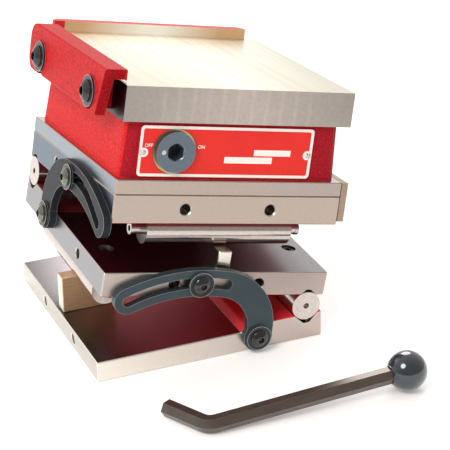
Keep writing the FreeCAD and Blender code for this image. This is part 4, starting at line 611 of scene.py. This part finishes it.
def thicken(bm):
    """Give flat printing its hair's breadth of thickness."""
    thickness = 0.00002
    inward = (tilt(2).to_3x3() @ Vector((0, 1, 0))) * thickness
    grown = bmesh.ops.extrude_face_region(bm, geom=bm.faces[:])
    moved = [item for item in grown["geom"] if isinstance(item, bmesh.types.BMVert)]
    bmesh.ops.translate(bm, verts=moved, vec=inward)
    bmesh.ops.recalc_face_normals(bm, faces=bm.faces[:])


def ring_between(bm, outer, inner):
    """Strip of faces between two loops with the same number of points."""
    first = [bm.verts.new(on_plate(x, z)) for x, z in outer]
    second = [bm.verts.new(on_plate(x, z)) for x, z in inner]
    count = len(first)
    for index in range(count):
        following = (index + 1) % count
        bm.faces.new((first[index], first[following], second[following], second[index]))


def circle_loop(x, z, radius, count=32):
    """Points of a circle, anticlockwise."""
    return [(x + radius * math.cos(2 * math.pi * step / count),
             z + radius * math.sin(2 * math.pi * step / count)) for step in range(count)]


def show(name, mesh):
    """Show a mesh in white print, at the origin, carried by the upper sine plate."""
    mesh.name = name
    mesh.materials.clear()
    mesh.materials.append(print_white)
    made = bpy.data.objects.new(name, mesh)
    bpy.context.scene.collection.objects.link(made)
    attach(made, "upper_sine_plate")


def show_print(name, bm):
    """Thicken flat printing and show it."""
    thicken(bm)
    mesh = bpy.data.meshes.new(name)
    bm.to_mesh(mesh)
    bm.free()
    show(name, mesh)


def show_word(name, word, x, z, height):
    """Show flat lettering, centred on a point of the plate."""
    size_for_height = 1.38
    boldness = 0.00004
    curve = bpy.data.curves.new(name + "_curve", "FONT")
    curve.body = word
    curve.align_x = "CENTER"
    curve.align_y = "CENTER"
    curve.size = height * size_for_height / 1000.0
    curve.offset = boldness
    drawn = bpy.data.objects.new(name + "_drawn", curve)
    bpy.context.scene.collection.objects.link(drawn)
    bpy.context.view_layer.update()
    mesh = bpy.data.meshes.new_from_object(drawn.evaluated_get(bpy.context.evaluated_depsgraph_get()))
    bpy.data.objects.remove(drawn)
    stand = Matrix.Rotation(math.pi / 2, 4, "X")
    place = Matrix.Translation(Vector((x, plate_face - letter_raise, z)) / 1000.0)
    mesh.transform(tilt(2) @ place @ stand)
    show(name, mesh)


# White border along the plate's edge, its outer and its inner line.
border = bmesh.new()
ring_between(border, rounded_loop(-62.7, 53.1, 93.1, 124.7, radius=2.4),
             rounded_loop(-60.9, 51.2, 94.9, 122.9, radius=1.2))
show_print("printed_border", border)

# White rings round the two rivets, run into the border.
rivet_height, ring_outside, ring_inside = 107.95, 2.9, 1.5
rings = bmesh.new()
for rivet_x in (-59.6, 50.0):
    ring_between(rings, circle_loop(rivet_x, rivet_height, ring_outside),
                 circle_loop(rivet_x, rivet_height, ring_inside))
show_print("printed_rivet_rings", rings)

# Two empty white fields where a maker would stamp its numbers.
fields = bmesh.new()
for left, right, low, high in ((13.4, 38.4, 107.0, 110.8), (-6.0, 26.2, 102.1, 106.1)):
    corners = ((left, low), (right, low), (right, high), (left, high))
    fields.faces.new([fields.verts.new(on_plate(x, z)) for x, z in corners])
show_print("printed_fields", fields)

# The switch's two positions, left and right of the dial.
show_word("word_off", "OFF", x=-56.7, z=112.3, height=2.2)
show_word("word_on", "ON", x=-22.2, z=111.9, height=2.2)


# ------------------------------------------------------------------ hex key
# Brown-black bar with a painted highlight on its edges and streaks along it, and a glossy ball that is
# nearly black.

key_black = plain("key_black", (0.125, 0.103, 0.092), 0.7, 0.27, level=0, stretch=(60, 300, 300),
                  contrast=0.35, edge_highlight=(0.30, 0.25, 0.22), edge_highlight_radius=0.0004)
dress(key_black, "key_shaft")
knob_gloss = plain("knob_gloss", (0.011, 0.022, 0.033), 0.0, 0.12, level=0, contrast=0.0,
                   strength=0.0, coat=1.0)
dress(knob_gloss, "key_knob")


# -------------------------------------------------------------------- floor
# Plain pale sheet just under the base plate, a little lit from within so
# that it stays white to the picture's edge.

floor_reach = 6.0
floor_drop = 0.0002
floor_mesh = bpy.data.meshes.new("floor")
floor_bm = bmesh.new()
bmesh.ops.create_grid(floor_bm, x_segments=1, y_segments=1, size=floor_reach)
bmesh.ops.translate(floor_bm, verts=floor_bm.verts[:], vec=(0, 0, -floor_drop))
floor_bm.to_mesh(floor_mesh)
floor_bm.free()
floor = bpy.data.objects.new("floor", floor_mesh)
bpy.context.scene.collection.objects.link(floor)
floor_material, _, floor_shader = paint_nodes("floor_white")
floor_shader.inputs["Base Color"].default_value = (0.94, 0.94, 0.94, 1.0)
floor_shader.inputs["Roughness"].default_value = 0.7
floor_shader.inputs["Emission Color"].default_value = (1.0, 1.0, 1.0, 1.0)
floor_shader.inputs["Emission Strength"].default_value = 0.22
floor_mesh.materials.append(floor_material)


# ------------------------------------------------------------------- lights
# Bright even surroundings, warmer and dimmer in front, and two soft boxes,
# one from the front left and one from behind.

world = bpy.data.worlds.new("studio")
bpy.context.scene.world = world
world.use_nodes = True
sky = world.node_tree
background = sky.nodes["Background"]
direction = add(sky, "ShaderNodeTexCoord")
along = split(sky, direction.outputs["Generated"])
behind = math_node(sky, "MULTIPLY_ADD", along["Y"], 0.9, 0.55, clamp=True)
sky.links.new(mix_colours(sky, behind, (0.50, 0.44, 0.39), (1.0, 0.99, 0.97)),
              background.inputs["Color"])
background.inputs["Strength"].default_value = 0.95


def soft_box(name, place, target, size, power, colour):
    """A round area light turned towards a point."""
    light = bpy.data.lights.new(name, "AREA")
    light.shape = "DISK"
    light.size = size
    light.energy = power
    light.color = colour
    made = bpy.data.objects.new(name, light)
    bpy.context.scene.collection.objects.link(made)
    made.location = place
    made.rotation_euler = (Vector(target) - Vector(place)).to_track_quat("-Z", "Y").to_euler()


soft_box("key_light", (-0.9, -0.7, 1.3), (0.0, 0.0, 0.08), 0.8, 16.0, (1.0, 0.98, 0.95))
soft_box("back_light", (0.6, 1.2, 1.2), (0.0, 0.0, 0.1), 1.0, 14.0, (1.0, 0.99, 0.97))


# ------------------------------------------------------------------- camera
# Long lens from the front left, looking down on the chuck. The azimuth is
# counted from straight in front, towards the left.

azimuth = math.radians(22.028)
elevation = math.radians(25.576)
roll = math.radians(-0.978)
distance = 1.34504
target = Vector((0.04143, 0.0, 0.0517))
back = Vector((-math.sin(azimuth) * math.cos(elevation), -math.cos(azimuth) * math.cos(elevation),
               math.sin(elevation)))
right = (-back).cross(Vector((0, 0, 1))).normalized()
up = right.cross(-back)
rolled_right = right * math.cos(roll) + up * math.sin(roll)
rolled_up = up * math.cos(roll) - right * math.sin(roll)
lens = bpy.data.cameras.new("camera")
lens.sensor_width = 36.0
lens.lens = 163.22
lens.clip_end = 20.0
camera = bpy.data.objects.new("camera", lens)
bpy.context.scene.collection.objects.link(camera)
turned = Matrix((rolled_right, rolled_up, back)).transposed().to_4x4()
camera.matrix_world = Matrix.Translation(target + back * distance) @ turned
bpy.context.scene.camera = camera
bpy.context.scene.view_settings.view_transform = "Standard"
